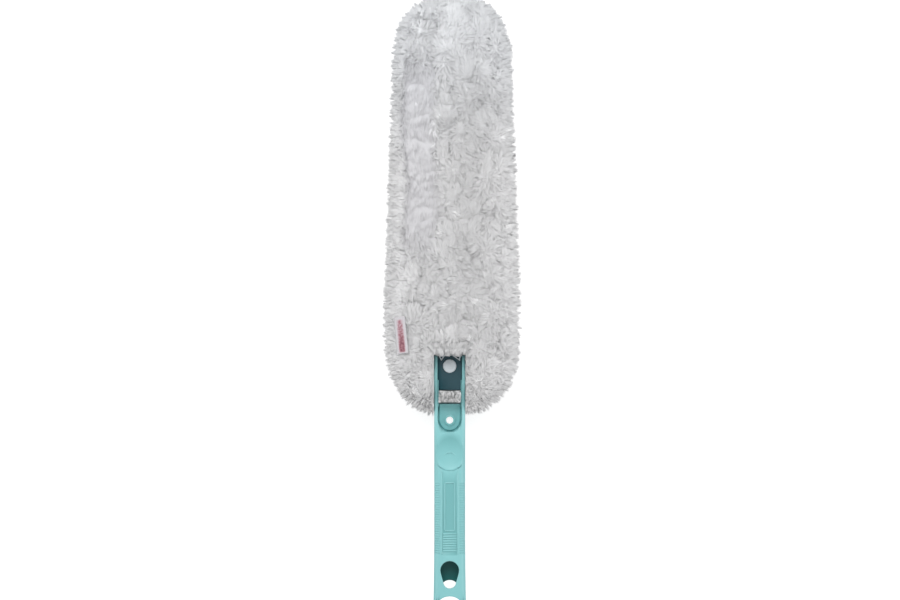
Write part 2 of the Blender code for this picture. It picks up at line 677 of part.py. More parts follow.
def make_handle(finish, parent):
    """The one-piece moulded handle."""
    handle = node("handle", handle_blank(), finish, parent)
    reach = HANDLE_END_WIDTH
    boolean(handle, "side_profile", prism(handle_side_profile(), -reach, reach, "X"), "INTERSECT")
    cut(handle, "dish", dish_scoop())
    grip_cuts(handle)
    grip_ribs(handle)
    grip_beads(handle)
    dish_marks(handle)
    neck_cuts(handle)
    neck_joins(handle)
    cut(handle, "socket", socket_core())
    end_cuts(handle)
    bore = moved(cylinder(PIN_RADIUS + PIN_GAP, -reach, reach, "X"), (0.0, PIVOT_HEIGHT, 0.0))
    cut(handle, "pin_bore", bore)
    hole = cylinder(HOOK_HOLE_RADIUS, 0.0, HALF_DEPTH)
    cut(handle, "hook_hole", moved(hole, (0.0, HOOK_HEIGHT, 0.0)))
    return handle


def make_pins(finish, parent):
    """Two headed pins, pushed through the fork into the block's flanks."""
    for name, side in (("pivot_pin_left", -1.0), ("pivot_pin_right", 1.0)):
        seat = HALF_WIDTH + FIT_GAP
        end = BLOCK_HALF - PIN_ENTRY + FIT_GAP
        profile = [(0.0, end), (PIN_RADIUS, end), (PIN_RADIUS, seat), (PIN_HEAD_RADIUS, seat)]
        profile += [(PIN_HEAD_RADIUS, seat + PIN_HEAD_THICKNESS)]
        profile += [(PIN_HEAD_RADIUS - PIN_DOME, seat + PIN_HEAD_THICKNESS + PIN_DOME)]
        profile += [(0.0, seat + PIN_HEAD_THICKNESS + PIN_DOME)]
        mesh = turned(profile, ROUND_STEPS, "X")
        if side < 0:
            mesh.transform(Matrix.Rotation(math.pi, 4, "Y"))
        pin = node(name, mesh, finish, parent)
        pin.location = (0.0, PIVOT_HEIGHT, 0.0)


# Tilting block, frame and button, measured from the tilt pivot


def make_block(finish, parent):
    """The petrol block: a flat sleeve, open at its top, that turns between the fork's rails."""
    outline = rounded_rectangle((-BLOCK_HALF, -BLOCK_TAIL), (BLOCK_HALF, BLOCK_RISE), BLOCK_CORNER, 2)
    block = node("swivel_block", prism(outline, -BLOCK_BACK, BLOCK_FRONT), finish, parent)
    half = BLOCK_HALF - BLOCK_FLANK
    low = (-half, -BLOCK_TAIL + BLOCK_FLOOR, -BLOCK_BACK + BLOCK_BACK_WALL)
    high = (half, BLOCK_RISE + OVERRUN, BLOCK_FRONT - BLOCK_FRONT_WALL)
    cut(block, "tongue_slot", boxes((low, high)))
    hole = moved(cylinder(BUTTON_RADIUS + FIT_GAP, 0.0, BLOCK_FRONT + OVERRUN), (0.0, -BUTTON_DROP, 0.0))
    cut(block, "button_hole", hole)
    inner, outer = BLOCK_HALF - PIN_ENTRY, BLOCK_HALF + OVERRUN
    for name, low, high in (("left_bore", -outer, -inner), ("right_bore", inner, outer)):
        cut(block, name, cylinder(PIN_RADIUS + PIN_GAP, low, high, "X"))


def apron_outline(shares):
    """A lug under the apron: a triangle from two roots on its lower edge to a tip."""
    left, right, tip = (APRON_HALF * share for share in shares)
    overlap = APRON_THICKNESS
    return [(left, APRON_BOTTOM + overlap), (left, APRON_BOTTOM), (tip, LUG_BOTTOM), (right, APRON_BOTTOM),
            (right, APRON_BOTTOM + overlap)]


def shrunk(outline, share):
    """The outline drawn in towards its own middle."""
    middle = np.mean(np.array(outline), axis=0)
    return [tuple(middle + (np.array(point) - middle) * share) for point in outline]


def paddle_half_width(height):
    """Half the paddle's width: the head's outline, drawn in, with a rounded start of its own."""
    start = BLOCK_RISE + FIT_GAP + PADDLE_RISE
    rise = min(1.0, max(0.0, (height - start) / PADDLE_START_DOME))
    return head_half_width(height, PADDLE_INSET) * dome(rise)


def paddle_outline():
    """The paddle's edge, up its right side and down its left."""
    start = BLOCK_RISE + FIT_GAP + PADDLE_RISE
    end = HEAD_RISE - PADDLE_INSET
    turn = np.linspace(0.0, math.pi, OUTLINE_STEPS)
    heights = start + (end - start) * (1.0 - np.cos(turn)) / 2
    halves = [paddle_half_width(height) for height in heights]
    right = list(zip(halves, heights))[1:-1]
    left = [(-x, y) for x, y in reversed(right)]
    return [(0.0, start)] + right + [(0.0, end)] + left


def inset_triangle(corners, distance):
    """A triangle whose sides are all moved inwards by a distance."""
    points = [Vector(corner) for corner in corners]
    sides = [(points[(i + 1) % 3] - points[i]).length for i in range(3)]
    opposite = [sides[1], sides[2], sides[0]]
    centre = sum((p * s for p, s in zip(points, opposite)), Vector((0.0, 0.0))) / sum(opposite)
    twice_area = abs((points[1] - points[0]).cross(points[2] - points[0]))
    inradius = twice_area / sum(sides)
    share = 1.0 - distance / inradius
    return [tuple(centre + (p - centre) * share) for p in points]


def truss_pockets(low, high):
    """The paddle's triangular pockets: two bays wide, each bay split by a slanting strut."""
    shape = bmesh.new()
    heights = np.linspace(PADDLE_BAYS_BOTTOM, PADDLE_BAYS_TOP, PADDLE_BAYS + 1)
    for i, (bottom, top) in enumerate(zip(heights, heights[1:])):
        for side in (-1.0, 1.0):
            inner = side * PADDLE_SPINE / 2
            outer_low = side * (paddle_half_width(bottom) - PADDLE_RIM)
            outer_high = side * (paddle_half_width(top) - PADDLE_RIM)
            corners = [(inner, bottom), (outer_low, bottom), (outer_high, top), (inner, top)]
            first = i % 2
            for pick in ((first, first + 1, first + 2), (first + 2, first + 3, first)):
                triangle = [corners[k % 4] for k in pick]
                prism_into(shape, inset_triangle(triangle, PADDLE_STRUT / 2), low, high)
    return from_bmesh(shape)


def make_frame(finish, parent):
    """The white frame: a tongue with the button's cup, an apron over the block, and the paddle."""
    tail = -BLOCK_TAIL + BLOCK_FLOOR + FIT_GAP
    top = BLOCK_RISE + FIT_GAP + BRIDGE_HEIGHT
    frame = node("head_frame", boxes(((-TONGUE_HALF, tail, -TONGUE_BACK), (TONGUE_HALF, top, TONGUE_FRONT))),
                 finish, parent)
    low, high = -PADDLE_THICKNESS / 2, PADDLE_THICKNESS / 2
    join(frame, "paddle", prism(paddle_outline(), low, high))
    apron_low, apron_high = BLOCK_FRONT + FIT_GAP, BLOCK_FRONT + FIT_GAP + APRON_THICKNESS
    bridge = (-APRON_HALF, BLOCK_RISE + FIT_GAP, -TONGUE_BACK), (APRON_HALF, top, apron_high)
    join(frame, "bridge", boxes(bridge))
    apron = (-APRON_HALF, APRON_BOTTOM, apron_low), (APRON_HALF, top - BRIDGE_HEIGHT / 2, apron_high)
    join(frame, "apron", boxes(apron))
    for name, shares in (("left", LEFT_LUG_SHARES), ("right", RIGHT_LUG_SHARES)):
        lug = apron_outline(shares)
        join(frame, f"{name}_lug", prism(lug, apron_low, apron_high))
        eye = shrunk([lug[1], lug[2], lug[3]], LUG_EYE_SHARE)
        cut(frame, f"{name}_eye", prism(eye, apron_low - APRON_THICKNESS / 2, apron_high + OVERRUN))
    cut(frame, "pockets", truss_pockets(low - OVERRUN, high + OVERRUN))
    radius = BUTTON_RADIUS + BUTTON_FLANGE + FIT_GAP
    cup = moved(cylinder(radius, CUP_BOTTOM, BLOCK_FRONT), (0.0, -BUTTON_DROP, 0.0))
    cut(frame, "button_cup", cup)


def make_button(finish, parent):
    """The round click button, hollow underneath for its spring. Its parent lies on its own axis."""
    top = BLOCK_FRONT + BUTTON_PROUD
    bottom = CUP_BOTTOM + BUTTON_TRAVEL + FIT_GAP
    bore_top = top - BUTTON_CAP
    flange = TONGUE_FRONT
    wide = BUTTON_RADIUS + BUTTON_FLANGE
    profile = [(0.0, bore_top), (BUTTON_BORE_RADIUS, bore_top), (BUTTON_BORE_RADIUS, bottom)]
    profile += [(BUTTON_RADIUS, bottom), (BUTTON_RADIUS, flange - BUTTON_FLANGE_THICKNESS)]
    profile += [(wide, flange - BUTTON_FLANGE_THICKNESS), (wide, flange)]
    profile += [(BUTTON_RADIUS, flange), (BUTTON_RADIUS, top - BUTTON_DOME)]
    profile += [(BUTTON_RADIUS - BUTTON_DOME / 2, top - BUTTON_DOME / 3)]
    profile += [(BUTTON_RADIUS / 2, top - BUTTON_DOME / 6), (0.0, top)]
    node("release_button", turned(profile, 2 * ROUND_STEPS), finish, parent)


def make_spring(finish, parent):
    """The button's coil spring, one unbroken wire with flat closed ends."""
    low = CUP_BOTTOM + FIT_GAP + SPRING_WIRE / 2
    high = BLOCK_FRONT + BUTTON_PROUD - BUTTON_CAP - FIT_GAP - SPRING_WIRE / 2
    count = round(SPRING_TURNS * SPRING_POINTS_A_TURN) + 1
    turn = np.linspace(0.0, 2 * math.pi * SPRING_TURNS, count)
    end = 2 * math.pi
    levels = [0.0, SPRING_END_SHARE, 1.0 - SPRING_END_SHARE, 1.0]
    climb = np.interp(turn, [0.0, end, turn[-1] - end, turn[-1]], levels)
    curve = bpy.data.curves.new("button_spring", "CURVE")
    curve.dimensions = "3D"
    curve.bevel_depth = SPRING_WIRE / 2
    curve.bevel_resolution = 1
    curve.use_fill_caps = True
    spline = curve.splines.new("POLY")
    spline.points.add(count - 1)
    for point, angle, share in zip(spline.points, turn, climb):
        height = low + (high - low) * share
        point.co = (SPRING_RADIUS * math.cos(angle), SPRING_RADIUS * math.sin(angle), height, 1.0)
    gap = (high - low) * SPRING_END_SHARE - SPRING_WIRE
    print(f"least gap between the spring's turns: {gap / MM:.2f} mm")
    curve.materials.append(finish)
    spring = bpy.data.objects.new("button_spring", curve)
    spring.location = (0.0, -BUTTON_DROP, 0.0)
    spring.parent = parent
    bpy.context.scene.collection.objects.link(spring)


# Plush sleeve, measured from the tilt pivot


def dome(share):
    """How a rounded end closes: 0 at its tip and 1 where it meets the straight part."""
    return (1.0 - (1.0 - share) ** DOME_POWER) ** (1.0 / DOME_POWER)


def dome_share(height, inset):
    """The two rounded ends together, for an outline drawn in by inset."""
    top = min(1.0, max(0.0, (HEAD_RISE - inset - height) / (TOP_DOME - inset / 2)))
    bottom = min(1.0, max(0.0, (height + SKIRT_DROP - inset) / (BOTTOM_DOME - inset / 2)))
    return dome(top) * dome(bottom)


def head_half_width(height, inset):
    """Half the head's width at a height above the pivot, for an outline drawn in by inset."""
    share = min(1.0, max(0.0, (height - WIDEST_HEIGHT) / (TAPER_HEIGHT - WIDEST_HEIGHT)))
    half = (HEAD_WIDTH + (HEAD_TOP_WIDTH - HEAD_WIDTH) * share) / 2
    return (half - inset) * dome_share(height, inset)


def pocket_depth(height, side):
    """How deep the pocket is: roomy at the mouth, and close to the paddle further up."""
    share = min(1.0, max(0.0, (height - POCKET_NARROWS) / (POCKET_NARROW - POCKET_NARROWS)))
    share = share * share * (3.0 - 2.0 * share)
    mouth = MOUTH_FRONT if side > 0 else MOUTH_DEEP
    return mouth + (PADDLE_THICKNESS / 2 + POCKET_SLACK - mouth) * share


def pocket_level(height, inset, side, layer):
    """How far from the seam plane a skin round the pocket is, in its middle."""
    ends = min(HEAD_RISE - inset - height, height + SKIRT_DROP - inset)
    share = min(1.0, max(0.0, ends / POCKET_CLOSE))
    return (pocket_depth(height, side) + layer) * dome(share)


def head_level(height, side):
    """How far from the seam plane the head's smooth outline is, in its middle."""
    return (HEAD_FRONT if side > 0 else HEAD_BACK) * dome_share(height, 0.0)


def bulged(value, power):
    """A cosine or sine as it counts on a superellipse of this power."""
    return np.sign(value) * np.abs(value) ** (2 / power)


def half_skin(inset, layer, side):
    """Half of a closed oval skin, on one side of the seam plane, as rings of points.

    Each ring is half a superellipse across the head, from its right edge over the middle to
    its left edge, and the rings run from the skirt's lower edge to the tip.
    """
    even = np.linspace(0.0, 1.0, PILE_STEPS_ALONG + 1)
    shares = (even + (1.0 - np.cos(math.pi * even)) / 2) / 2
    heights = -SKIRT_DROP + inset + (HEAD_RISE + SKIRT_DROP - 2 * inset) * shares
    angles = np.linspace(0.0, math.pi, POCKET_STEPS_AROUND + 1)
    across = bulged(np.cos(angles), POCKET_POWER)
    rise = bulged(np.sin(angles).clip(0.0), POCKET_POWER)
    rings = []
    for height in heights:
        x = head_half_width(height, inset) * across
        z = pocket_level(height, inset, side, layer) * rise
        rings.append(np.stack([x, np.full_like(x, height), side * (z + SEAM_GAP / 2)], axis=1))
    return rings


def even_angles(steps):
    """Angles round half a section that lie equally far apart on the head's widest section."""
    fine = np.linspace(0.0, math.pi, steps * ROUND_STEPS + 1)
    x = HEAD_WIDTH / 2 * bulged(np.cos(fine), SECTION_POWER)
    z = HEAD_FRONT * bulged(np.sin(fine).clip(0.0), SECTION_POWER)
    length = np.concatenate([[0.0], np.cumsum(np.hypot(np.diff(x), np.diff(z)))])
    return np.interp(np.linspace(0.0, length[-1], steps + 1), length, fine)


def wad_dent(row, column):
    """How deep the pile lies at a step of the wads' lattice: little on a wad, much in a crease."""
    line = row // WAD_STEPS
    place = column + WAD_SHIFTS[line % len(WAD_SHIFTS)]
    wad = place // WAD_STEPS
    phase = WAD_ROW_PHASE * line + WAD_COLUMN_PHASE * wad + WAD_CROSS_PHASE * line * wad
    own = (1.0 + math.sin(phase)) / 2
    if row % WAD_STEPS and place % WAD_STEPS:
        return WAD_DEPTH * WAD_TOP_SHARE * own
    return WAD_DEPTH * (WAD_CREASE_SHARE + (1.0 - WAD_CREASE_SHARE) * own)


def wad_point(row, column, angle, side):
    """A point of the pile's outside: on the head's smooth outline, drawn in by its dent.

    The way in is square to the section, whose normal grows with each coordinate's own power.
    """
    even = row / PILE_STEPS_ALONG
    share = even + END_CROWD_SHARE * ((1.0 - math.cos(math.pi * even)) / 2 - even)
    sway = WAD_SWAY * math.sin(math.pi * even) * math.sin(angle) * math.sin(WAD_BEND_COUNT * angle + row)
    height = -SKIRT_DROP + (HEAD_RISE + SKIRT_DROP) * share + sway
    half, level = head_half_width(height, 0.0), head_level(height, side)
    if half == 0.0:
        return 0.0, height, side * SEAM_GAP / 2
    across = bulged(math.cos(angle), SECTION_POWER)
    rise = bulged(max(0.0, math.sin(angle)), SECTION_POWER)
    slope = 2 / (SECTION_POWER - 1)
    inward = Vector((bulged(across, slope) / half, bulged(rise, slope) / level)).normalized()
    dent = wad_dent(row, column) * dome_share(height, 0.0)
    dent *= WAD_EDGE_SHARE + (1.0 - WAD_EDGE_SHARE) * math.sin(angle)
    z = level * rise
    if side < 0:
        dent *= min(1.0, max(0.0, (REST_DEPTH - z) / REST_FADE))
        z = min(z, REST_DEPTH)
    return half * across - dent * inward.x, height, side * (z - dent * inward.y + SEAM_GAP / 2)


def wad_skin(side):
    """Half of the pile's outside with its wads, as rings of points from the skirt to the tip."""
    angles = even_angles(PILE_STEPS_AROUND)
    return [
        np.array([wad_point(row, column, angle, side) for column, angle in enumerate(angles)])
        for row in range(PILE_STEPS_ALONG + 1)
    ]


def stitch(shape, rings):
    """Faces between rings of points, whose first and last ring are each one point."""
    made = []
    for i, ring in enumerate(rings):
        if i in (0, len(rings) - 1):
            made.append([shape.verts.new(tuple(ring.mean(axis=0)))] * len(ring))
        else:
            made.append([shape.verts.new(tuple(point)) for point in ring])
    for below, above in zip(made, made[1:]):
        for i in range(len(below) - 1):
            corners = (below[i], below[i + 1], above[i + 1], above[i])
            shape.faces.new(list(dict.fromkeys(corners)))
    return made


def half_shell(outside, inside):
    """A half shell between two skins, closed by a flat rim on the seam plane."""
    shape = bmesh.new()
    outer = stitch(shape, outside)
    inner = stitch(shape, inside)
    for edge in (0, -1):
        for i in range(len(outer) - 1):
            corners = (outer[i][edge], outer[i + 1][edge], inner[i + 1][edge], inner[i][edge])
            shape.faces.new(list(dict.fromkeys(corners)))
    return from_bmesh(shape)


def mouth_cutter():
    """The block of space in which the handle's fork swings out of the sleeve's front."""
    half = MOUTH_WIDTH / 2
    low = (-half, -SKIRT_DROP - OVERRUN, -MOUTH_BACK)
    return boxes((low, (half, MOUTH_RISE, HEAD_FRONT + OVERRUN)))


def pile_mesh(side):
    """One panel's plush: the head's outside in wads, hollow for the backing."""
    return half_shell(wad_skin(side), half_skin(PILE_LENGTH, BACKING + SOFT_GAP, side))


def backing_mesh(side):
    """One panel's backing cloth, which is the pocket's wall."""
    outside = half_skin(BACKING_INSET, BACKING, side)
    return half_shell(outside, half_skin(BACKING_INSET + BACKING, 0.0, side))


def make_cloth(plush, cloth, parent):
    """The sleeve's plush and backing, a front and a back panel of each, and the seam inside."""
    for name, side in (("front", 1.0), ("back", -1.0)):
        pile = node(f"plush_{name}", pile_mesh(side), plush, parent)
        cut(pile, "mouth", mouth_cutter())
        if side > 0:
            cut(pile, "tag_seat", tag_seat())
        panel = node(f"backing_{name}", backing_mesh(side), cloth, parent)
        cut(panel, "mouth", mouth_cutter())
    seam = node("side_seam", seam_ring(SEAM_EDGE), cloth, parent)
    cut(seam, "mouth", mouth_cutter())


def seam_ring(inset):
    """The folded seam allowance, a flat band just inside the pocket's edge."""
    shape = bmesh.new()
    turn = np.linspace(0.0, math.pi, OUTLINE_STEPS + 1)
    loops = []
    for edge in (inset, inset + SEAM_WIDTH):
        low, high = -SKIRT_DROP + edge, HEAD_RISE - edge
        heights = low + (high - low) * (1.0 - np.cos(turn)) / 2
        right = [(head_half_width(height, edge), height) for height in heights]
        left = [(-x, y) for x, y in reversed(right[1:-1])]
        loops.append(right + left)
    levels = (-SEAM_THICKNESS / 2, SEAM_THICKNESS / 2)
    rings = [[shape.verts.new((x, y, z)) for x, y in loop] for loop in loops for z in levels]
    order = (rings[0], rings[1], rings[3], rings[2])
    for one, other in zip(order, order[1:] + order[:1]):
        for i in range(len(one)):
            j = (i + 1) % len(one)
            shape.faces.new((one[i], one[j], other[j], other[i]))
    return from_bmesh(shape)


def binding_foot(reach):
    """Where the tape starts: above the height at which the cloth is as wide as its reach."""
    across = reach / (HEAD_WIDTH / 2 - BACKING_INSET)
    share = 1.0 - (1.0 - across**DOME_POWER) ** (1.0 / DOME_POWER)
    return -SKIRT_DROP + BACKING_INSET + share * (BOTTOM_DOME - BACKING_INSET / 2) + BINDING_END


def make_binding(finish, parent):
    """The tape round the mouth: up one side, across its top and down the other."""
    reach = MOUTH_WIDTH / 2 - FIT_GAP - BINDING_RADIUS
    top = MOUTH_RISE - FIT_GAP - BINDING_RADIUS
    foot = binding_foot(reach)
    corner = (reach - BINDING_CORNER, top - BINDING_CORNER)
    count = round((corner[1] - foot) / BINDING_STEP)
    right = [(reach, y) for y in np.linspace(foot, corner[1], count, endpoint=False)]
    right += arc(corner, BINDING_CORNER, 0.0, math.pi / 2, CORNER_STEPS)
    points = right + [(0.0, top)] + [(-x, y) for x, y in reversed(right)]
    curve = bpy.data.curves.new("mouth_binding", "CURVE")
    curve.dimensions = "3D"
    curve.bevel_depth = BINDING_RADIUS
    curve.bevel_resolution = 2
    curve.use_fill_caps = True
    spline = curve.splines.new("POLY")
    spline.points.add(len(points) - 1)
    for point, (x, y) in zip(spline.points, points):
        across = abs(x) / head_half_width(y, BACKING_INSET)
        bend = (1.0 - across**POCKET_POWER) ** (1.0 / POCKET_POWER)
        point.co = (x, y, pocket_level(y, BACKING_INSET, 1.0, BACKING / 2) * bend, 1.0)
    curve.materials.append(finish)
    binding = bpy.data.objects.new("mouth_binding", curve)
    binding.parent = parent
    bpy.context.scene.collection.objects.link(binding)


def tag_place():
    """Where the tag lies: on the front plush near its left edge, leaning with the surface."""
    across = TAG_ACROSS / head_half_width(TAG_HEIGHT, 0.0)
    surface = HEAD_FRONT * (1.0 - across**SECTION_POWER) ** (1.0 / SECTION_POWER)
    place = Matrix.Translation((-TAG_ACROSS, TAG_HEIGHT, surface))
    return place @ Matrix.Rotation(-TAG_LEAN, 4, "Y") @ Matrix.Rotation(TAG_TURN, 4, "Z")


def tag_seat():
    """The place that the tag presses flat in the plush."""
    half, tall = TAG_WIDTH / 2 + TAG_SEAT_MARGIN, TAG_LENGTH / 2 + TAG_SEAT_MARGIN
    mesh = boxes(((-half, -tall, -TAG_SINK), (half, tall, HEAD_FRONT)))
    mesh.transform(tag_place())
    return mesh


def make_tag(finish, parent):
    """The bare woven tag."""
    low = -TAG_SINK + FIT_GAP
    mesh = boxes(
        ((-TAG_WIDTH / 2, -TAG_LENGTH / 2, low), (TAG_WIDTH / 2, TAG_LENGTH / 2, low + TAG_THICKNESS))
    )
    mesh.transform(tag_place())
    node("sleeve_tag", mesh, finish, parent)


def main():
    """Builds the whole duster."""
    clear_scene()
    turquoise = material("handle_turquoise", TURQUOISE, 0.42)
    petrol = material("block_petrol", PETROL, 0.38)
    white = material("frame_white", WHITE_PLASTIC, 0.35)
    plush = material("plush_white", PLUSH_WHITE, 0.95)
    cloth = material("cloth_white", CLOTH_WHITE, 0.90)
    steel = material("spring_steel", STEEL, 0.30, 1.0)

    duster = empty("duster", (0.0, -OVERALL_LENGTH / 2, REST_DEPTH + SEAM_GAP / 2))
    make_handle(turquoise, duster)
    make_pins(turquoise, duster)
    head = empty("tilt_axis", (0.0, PIVOT_HEIGHT, 0.0), duster)
    make_block(petrol, head)
    make_frame(white, head)
    make_spring(steel, head)
    make_cloth(plush, cloth, head)
    make_binding(cloth, head)
    make_tag(cloth, head)
    press = empty("button_axis", (0.0, -BUTTON_DROP, 0.0), head)
    make_button(white, press)


main()
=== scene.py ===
"""Dresses the hand duster: its moulded handle, the tilting block with the round button, the
white frame, and the plush sleeve, whose pile is grown strand by strand in clumps.

Metres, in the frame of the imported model: +Y runs to the head's tip, +Z up through the button.
"""

import json
import logging
import math
from dataclasses import dataclass, field
from enum import Enum

import bmesh
import bpy
import numpy as np
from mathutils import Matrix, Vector


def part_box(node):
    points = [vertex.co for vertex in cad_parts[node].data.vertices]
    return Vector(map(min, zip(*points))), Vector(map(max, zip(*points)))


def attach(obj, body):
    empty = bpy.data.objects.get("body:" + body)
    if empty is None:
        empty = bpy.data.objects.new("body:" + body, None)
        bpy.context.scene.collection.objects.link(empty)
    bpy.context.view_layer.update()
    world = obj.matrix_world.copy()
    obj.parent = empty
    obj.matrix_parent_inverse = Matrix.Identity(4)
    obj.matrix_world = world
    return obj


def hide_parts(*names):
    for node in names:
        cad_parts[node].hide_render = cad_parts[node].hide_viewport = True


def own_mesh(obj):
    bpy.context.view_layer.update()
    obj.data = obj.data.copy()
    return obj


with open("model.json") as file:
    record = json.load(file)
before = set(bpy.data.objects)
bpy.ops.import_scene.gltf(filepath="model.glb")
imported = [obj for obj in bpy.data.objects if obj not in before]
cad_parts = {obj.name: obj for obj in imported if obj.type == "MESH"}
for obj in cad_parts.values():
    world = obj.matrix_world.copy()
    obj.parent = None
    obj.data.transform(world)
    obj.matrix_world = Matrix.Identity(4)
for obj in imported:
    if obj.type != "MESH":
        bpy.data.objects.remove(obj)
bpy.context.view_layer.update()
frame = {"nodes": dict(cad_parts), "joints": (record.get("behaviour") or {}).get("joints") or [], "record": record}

LOG = logging.getLogger("duster")
MM = 0.001
NODES: dict[str, bpy.types.Object] = frame["nodes"]
JOINTS: dict[str, dict] = {joint["name"]: joint for joint in frame["joints"]}
PIVOT = Vector(JOINTS["head_tilt"]["pos_m"])

Array = np.ndarray
Colour = tuple[float, float, float]
Span = tuple[float, float]

TONES: Span = (-0.2, 1.5)  # the darkest and the lightest strand
SHARP = math.radians(35.0)  # edges that turn more than this stay sharp
MERGE = 0.002 * MM  # corners nearer than this are one
LEAST = 1e-6  # keeps a divisor above zero


class Body(Enum):
    """The rigid bodies that pieces ride on."""

    HANDLE = "handle"
    HEAD = "head"
    BUTTON = "button"


class Slot(Enum):
    """The record's material slots."""

    TURQUOISE = "turquoise"
    PETROL = "petrol"
    WHITE = "white"
    PLUSH = "plush"
    CLOTH = "cloth"
    STEEL = "steel"


# Shader building


class Graph:
    """A node tree with short calls for adding and joining nodes."""

    def __init__(self, tree: bpy.types.NodeTree) -> None:
        """Keeps the tree to build in."""
        self.tree = tree

    def add(self, kind: str, settings: dict | None = None, **inputs) -> bpy.types.Node:
        """Adds a node.

        Args:
            kind: the node's type name.
            settings: properties of the node itself.
            inputs: sockets by name, as set takes them.

        Returns:
            The new node.
        """
        node = self.tree.nodes.new(kind)
        for name, value in (settings or {}).items():
            setattr(node, name, value)
        self.set(node, **inputs)
        return node

    def set(self, node: bpy.types.Node, **inputs) -> None:
        """Feeds sockets by name, with underscores for spaces, each a value or a socket to link."""
        for name, value in inputs.items():
            self.feed(node.inputs[name.replace("_", " ")], value)

    def feed(self, socket: bpy.types.NodeSocket, value) -> None:
        """Links a socket to another one, or sets its own value."""
        if isinstance(value, bpy.types.NodeSocket):
            self.tree.links.new(value, socket)
        else:
            socket.default_value = value

    def place(self) -> bpy.types.NodeSocket:
        """The Object coordinates."""
        return self.add("ShaderNodeTexCoord").outputs["Object"]

    def marked(self, name: str) -> bpy.types.NodeSocket:
        """The value of a mesh attribute."""
        return self.add("ShaderNodeAttribute", {"attribute_name": name}).outputs["Fac"]

    def math(self, operation: str, first, second=0.0) -> bpy.types.NodeSocket:
        """Adds a Math node on two values or sockets and returns its result."""
        node = self.add("ShaderNodeMath", {"operation": operation})
        self.feed(node.inputs[0], first)
        self.feed(node.inputs[1], second)
        return node.outputs[0]

    def mix(self, factor, first, second, blend: str = "MIX") -> bpy.types.NodeSocket:
        """Mixes two colours by a factor and returns the colour."""
        node = self.add("ShaderNodeMix", {"data_type": "RGBA", "blend_type": blend})
        for index, value in zip((0, 6, 7), (factor, first, second)):
            self.feed(node.inputs[index], value)
        return node.outputs[2]

    def tinted(self, colour, by) -> bpy.types.NodeSocket:
        """One colour multiplied by another."""
        return self.mix(1.0, colour, by, "MULTIPLY")

    def grey(self, value: bpy.types.NodeSocket) -> bpy.types.NodeSocket:
        """The colour whose three channels are one value."""
        return self.add("ShaderNodeCombineColor", Red=value, Green=value, Blue=value).outputs[0]

    def ramp(self, factor, low: float, high: float, start: float = 0.0,
             end: float = 1.0) -> bpy.types.NodeSocket:
        """Maps a value from low..high to start..end smoothly, and returns it."""
        node = self.add("ShaderNodeMapRange", {"interpolation_type": "SMOOTHSTEP"})
        for index, value in enumerate((factor, low, high, start, end)):
            self.feed(node.inputs[index], value)
        return node.outputs[0]

    def noise(self, vector, scale, detail: float = 2.0) -> bpy.types.NodeSocket:
        """Adds a noise texture on a vector and returns its value."""
        return self.add("ShaderNodeTexNoise", Vector=vector, Scale=scale, Detail=detail).outputs["Fac"]

    def stretched(self, vector, scale: tuple[float, float, float]) -> bpy.types.NodeSocket:
        """A vector scaled by its own factor on each axis."""
        return self.add("ShaderNodeMapping", Vector=vector, Scale=scale).outputs[0]


def rgba(colour: Colour) -> tuple[float, float, float, float]:
    """The colour with full alpha."""
    return (*colour, 1.0)


def new_material(name: str) -> tuple[bpy.types.Material, Graph, bpy.types.Node]:
    """A new material, its graph and its Principled shader."""
    material = bpy.data.materials.new(name)
    material.use_nodes = True
    return material, Graph(material.node_tree), material.node_tree.nodes["Principled BSDF"]


def new_group(name: str, inputs: dict[str, float], outputs: list[str]) -> tuple[Graph, dict, dict]:
    """Starts a shader node group whose sockets are numbers.

    Args:
        name: the group's name.
        inputs: input sockets with their usual values.
        outputs: output sockets.

    Returns:
        The graph, its input sockets by name and its output sockets by name.
    """
    tree = bpy.data.node_groups.new(name, "ShaderNodeTree")
    for label, value in inputs.items():
        socket = tree.interface.new_socket(label, in_out="INPUT", socket_type="NodeSocketFloat")
        socket.default_value = value
    for label in outputs:
        tree.interface.new_socket(label, in_out="OUTPUT", socket_type="NodeSocketFloat")
    start = tree.nodes.new("NodeGroupInput")
    end = tree.nodes.new("NodeGroupOutput")
    return Graph(tree), {s.name: s for s in start.outputs}, {s.name: s for s in end.inputs}


def moulded_group() -> bpy.types.NodeTree:
    """Fine spark-eroded grain and slow flow marks of moulded plastic.

    The grain is a fine noise, and the flow is a noise stretched along the moulding, both on
    Object coordinates. Grain is a height, and Tone lies round 1 and multiplies the colour.
    """
    graph, start, end = new_group("moulded_surface", {"Grain Scale": 2600.0, "Flow": 0.06},
                                  ["Grain", "Tone"])
    place = graph.place()
    flow = graph.noise(graph.stretched(place, (60.0, 9.0, 60.0)), 1.0, 3.0)
    centred = graph.math("MULTIPLY", graph.math("SUBTRACT", flow, 0.5), start["Flow"])
    graph.feed(end["Grain"], graph.noise(place, start["Grain Scale"]))
    graph.feed(end["Tone"], graph.math("ADD", centred, 1.0))
    return graph.tree


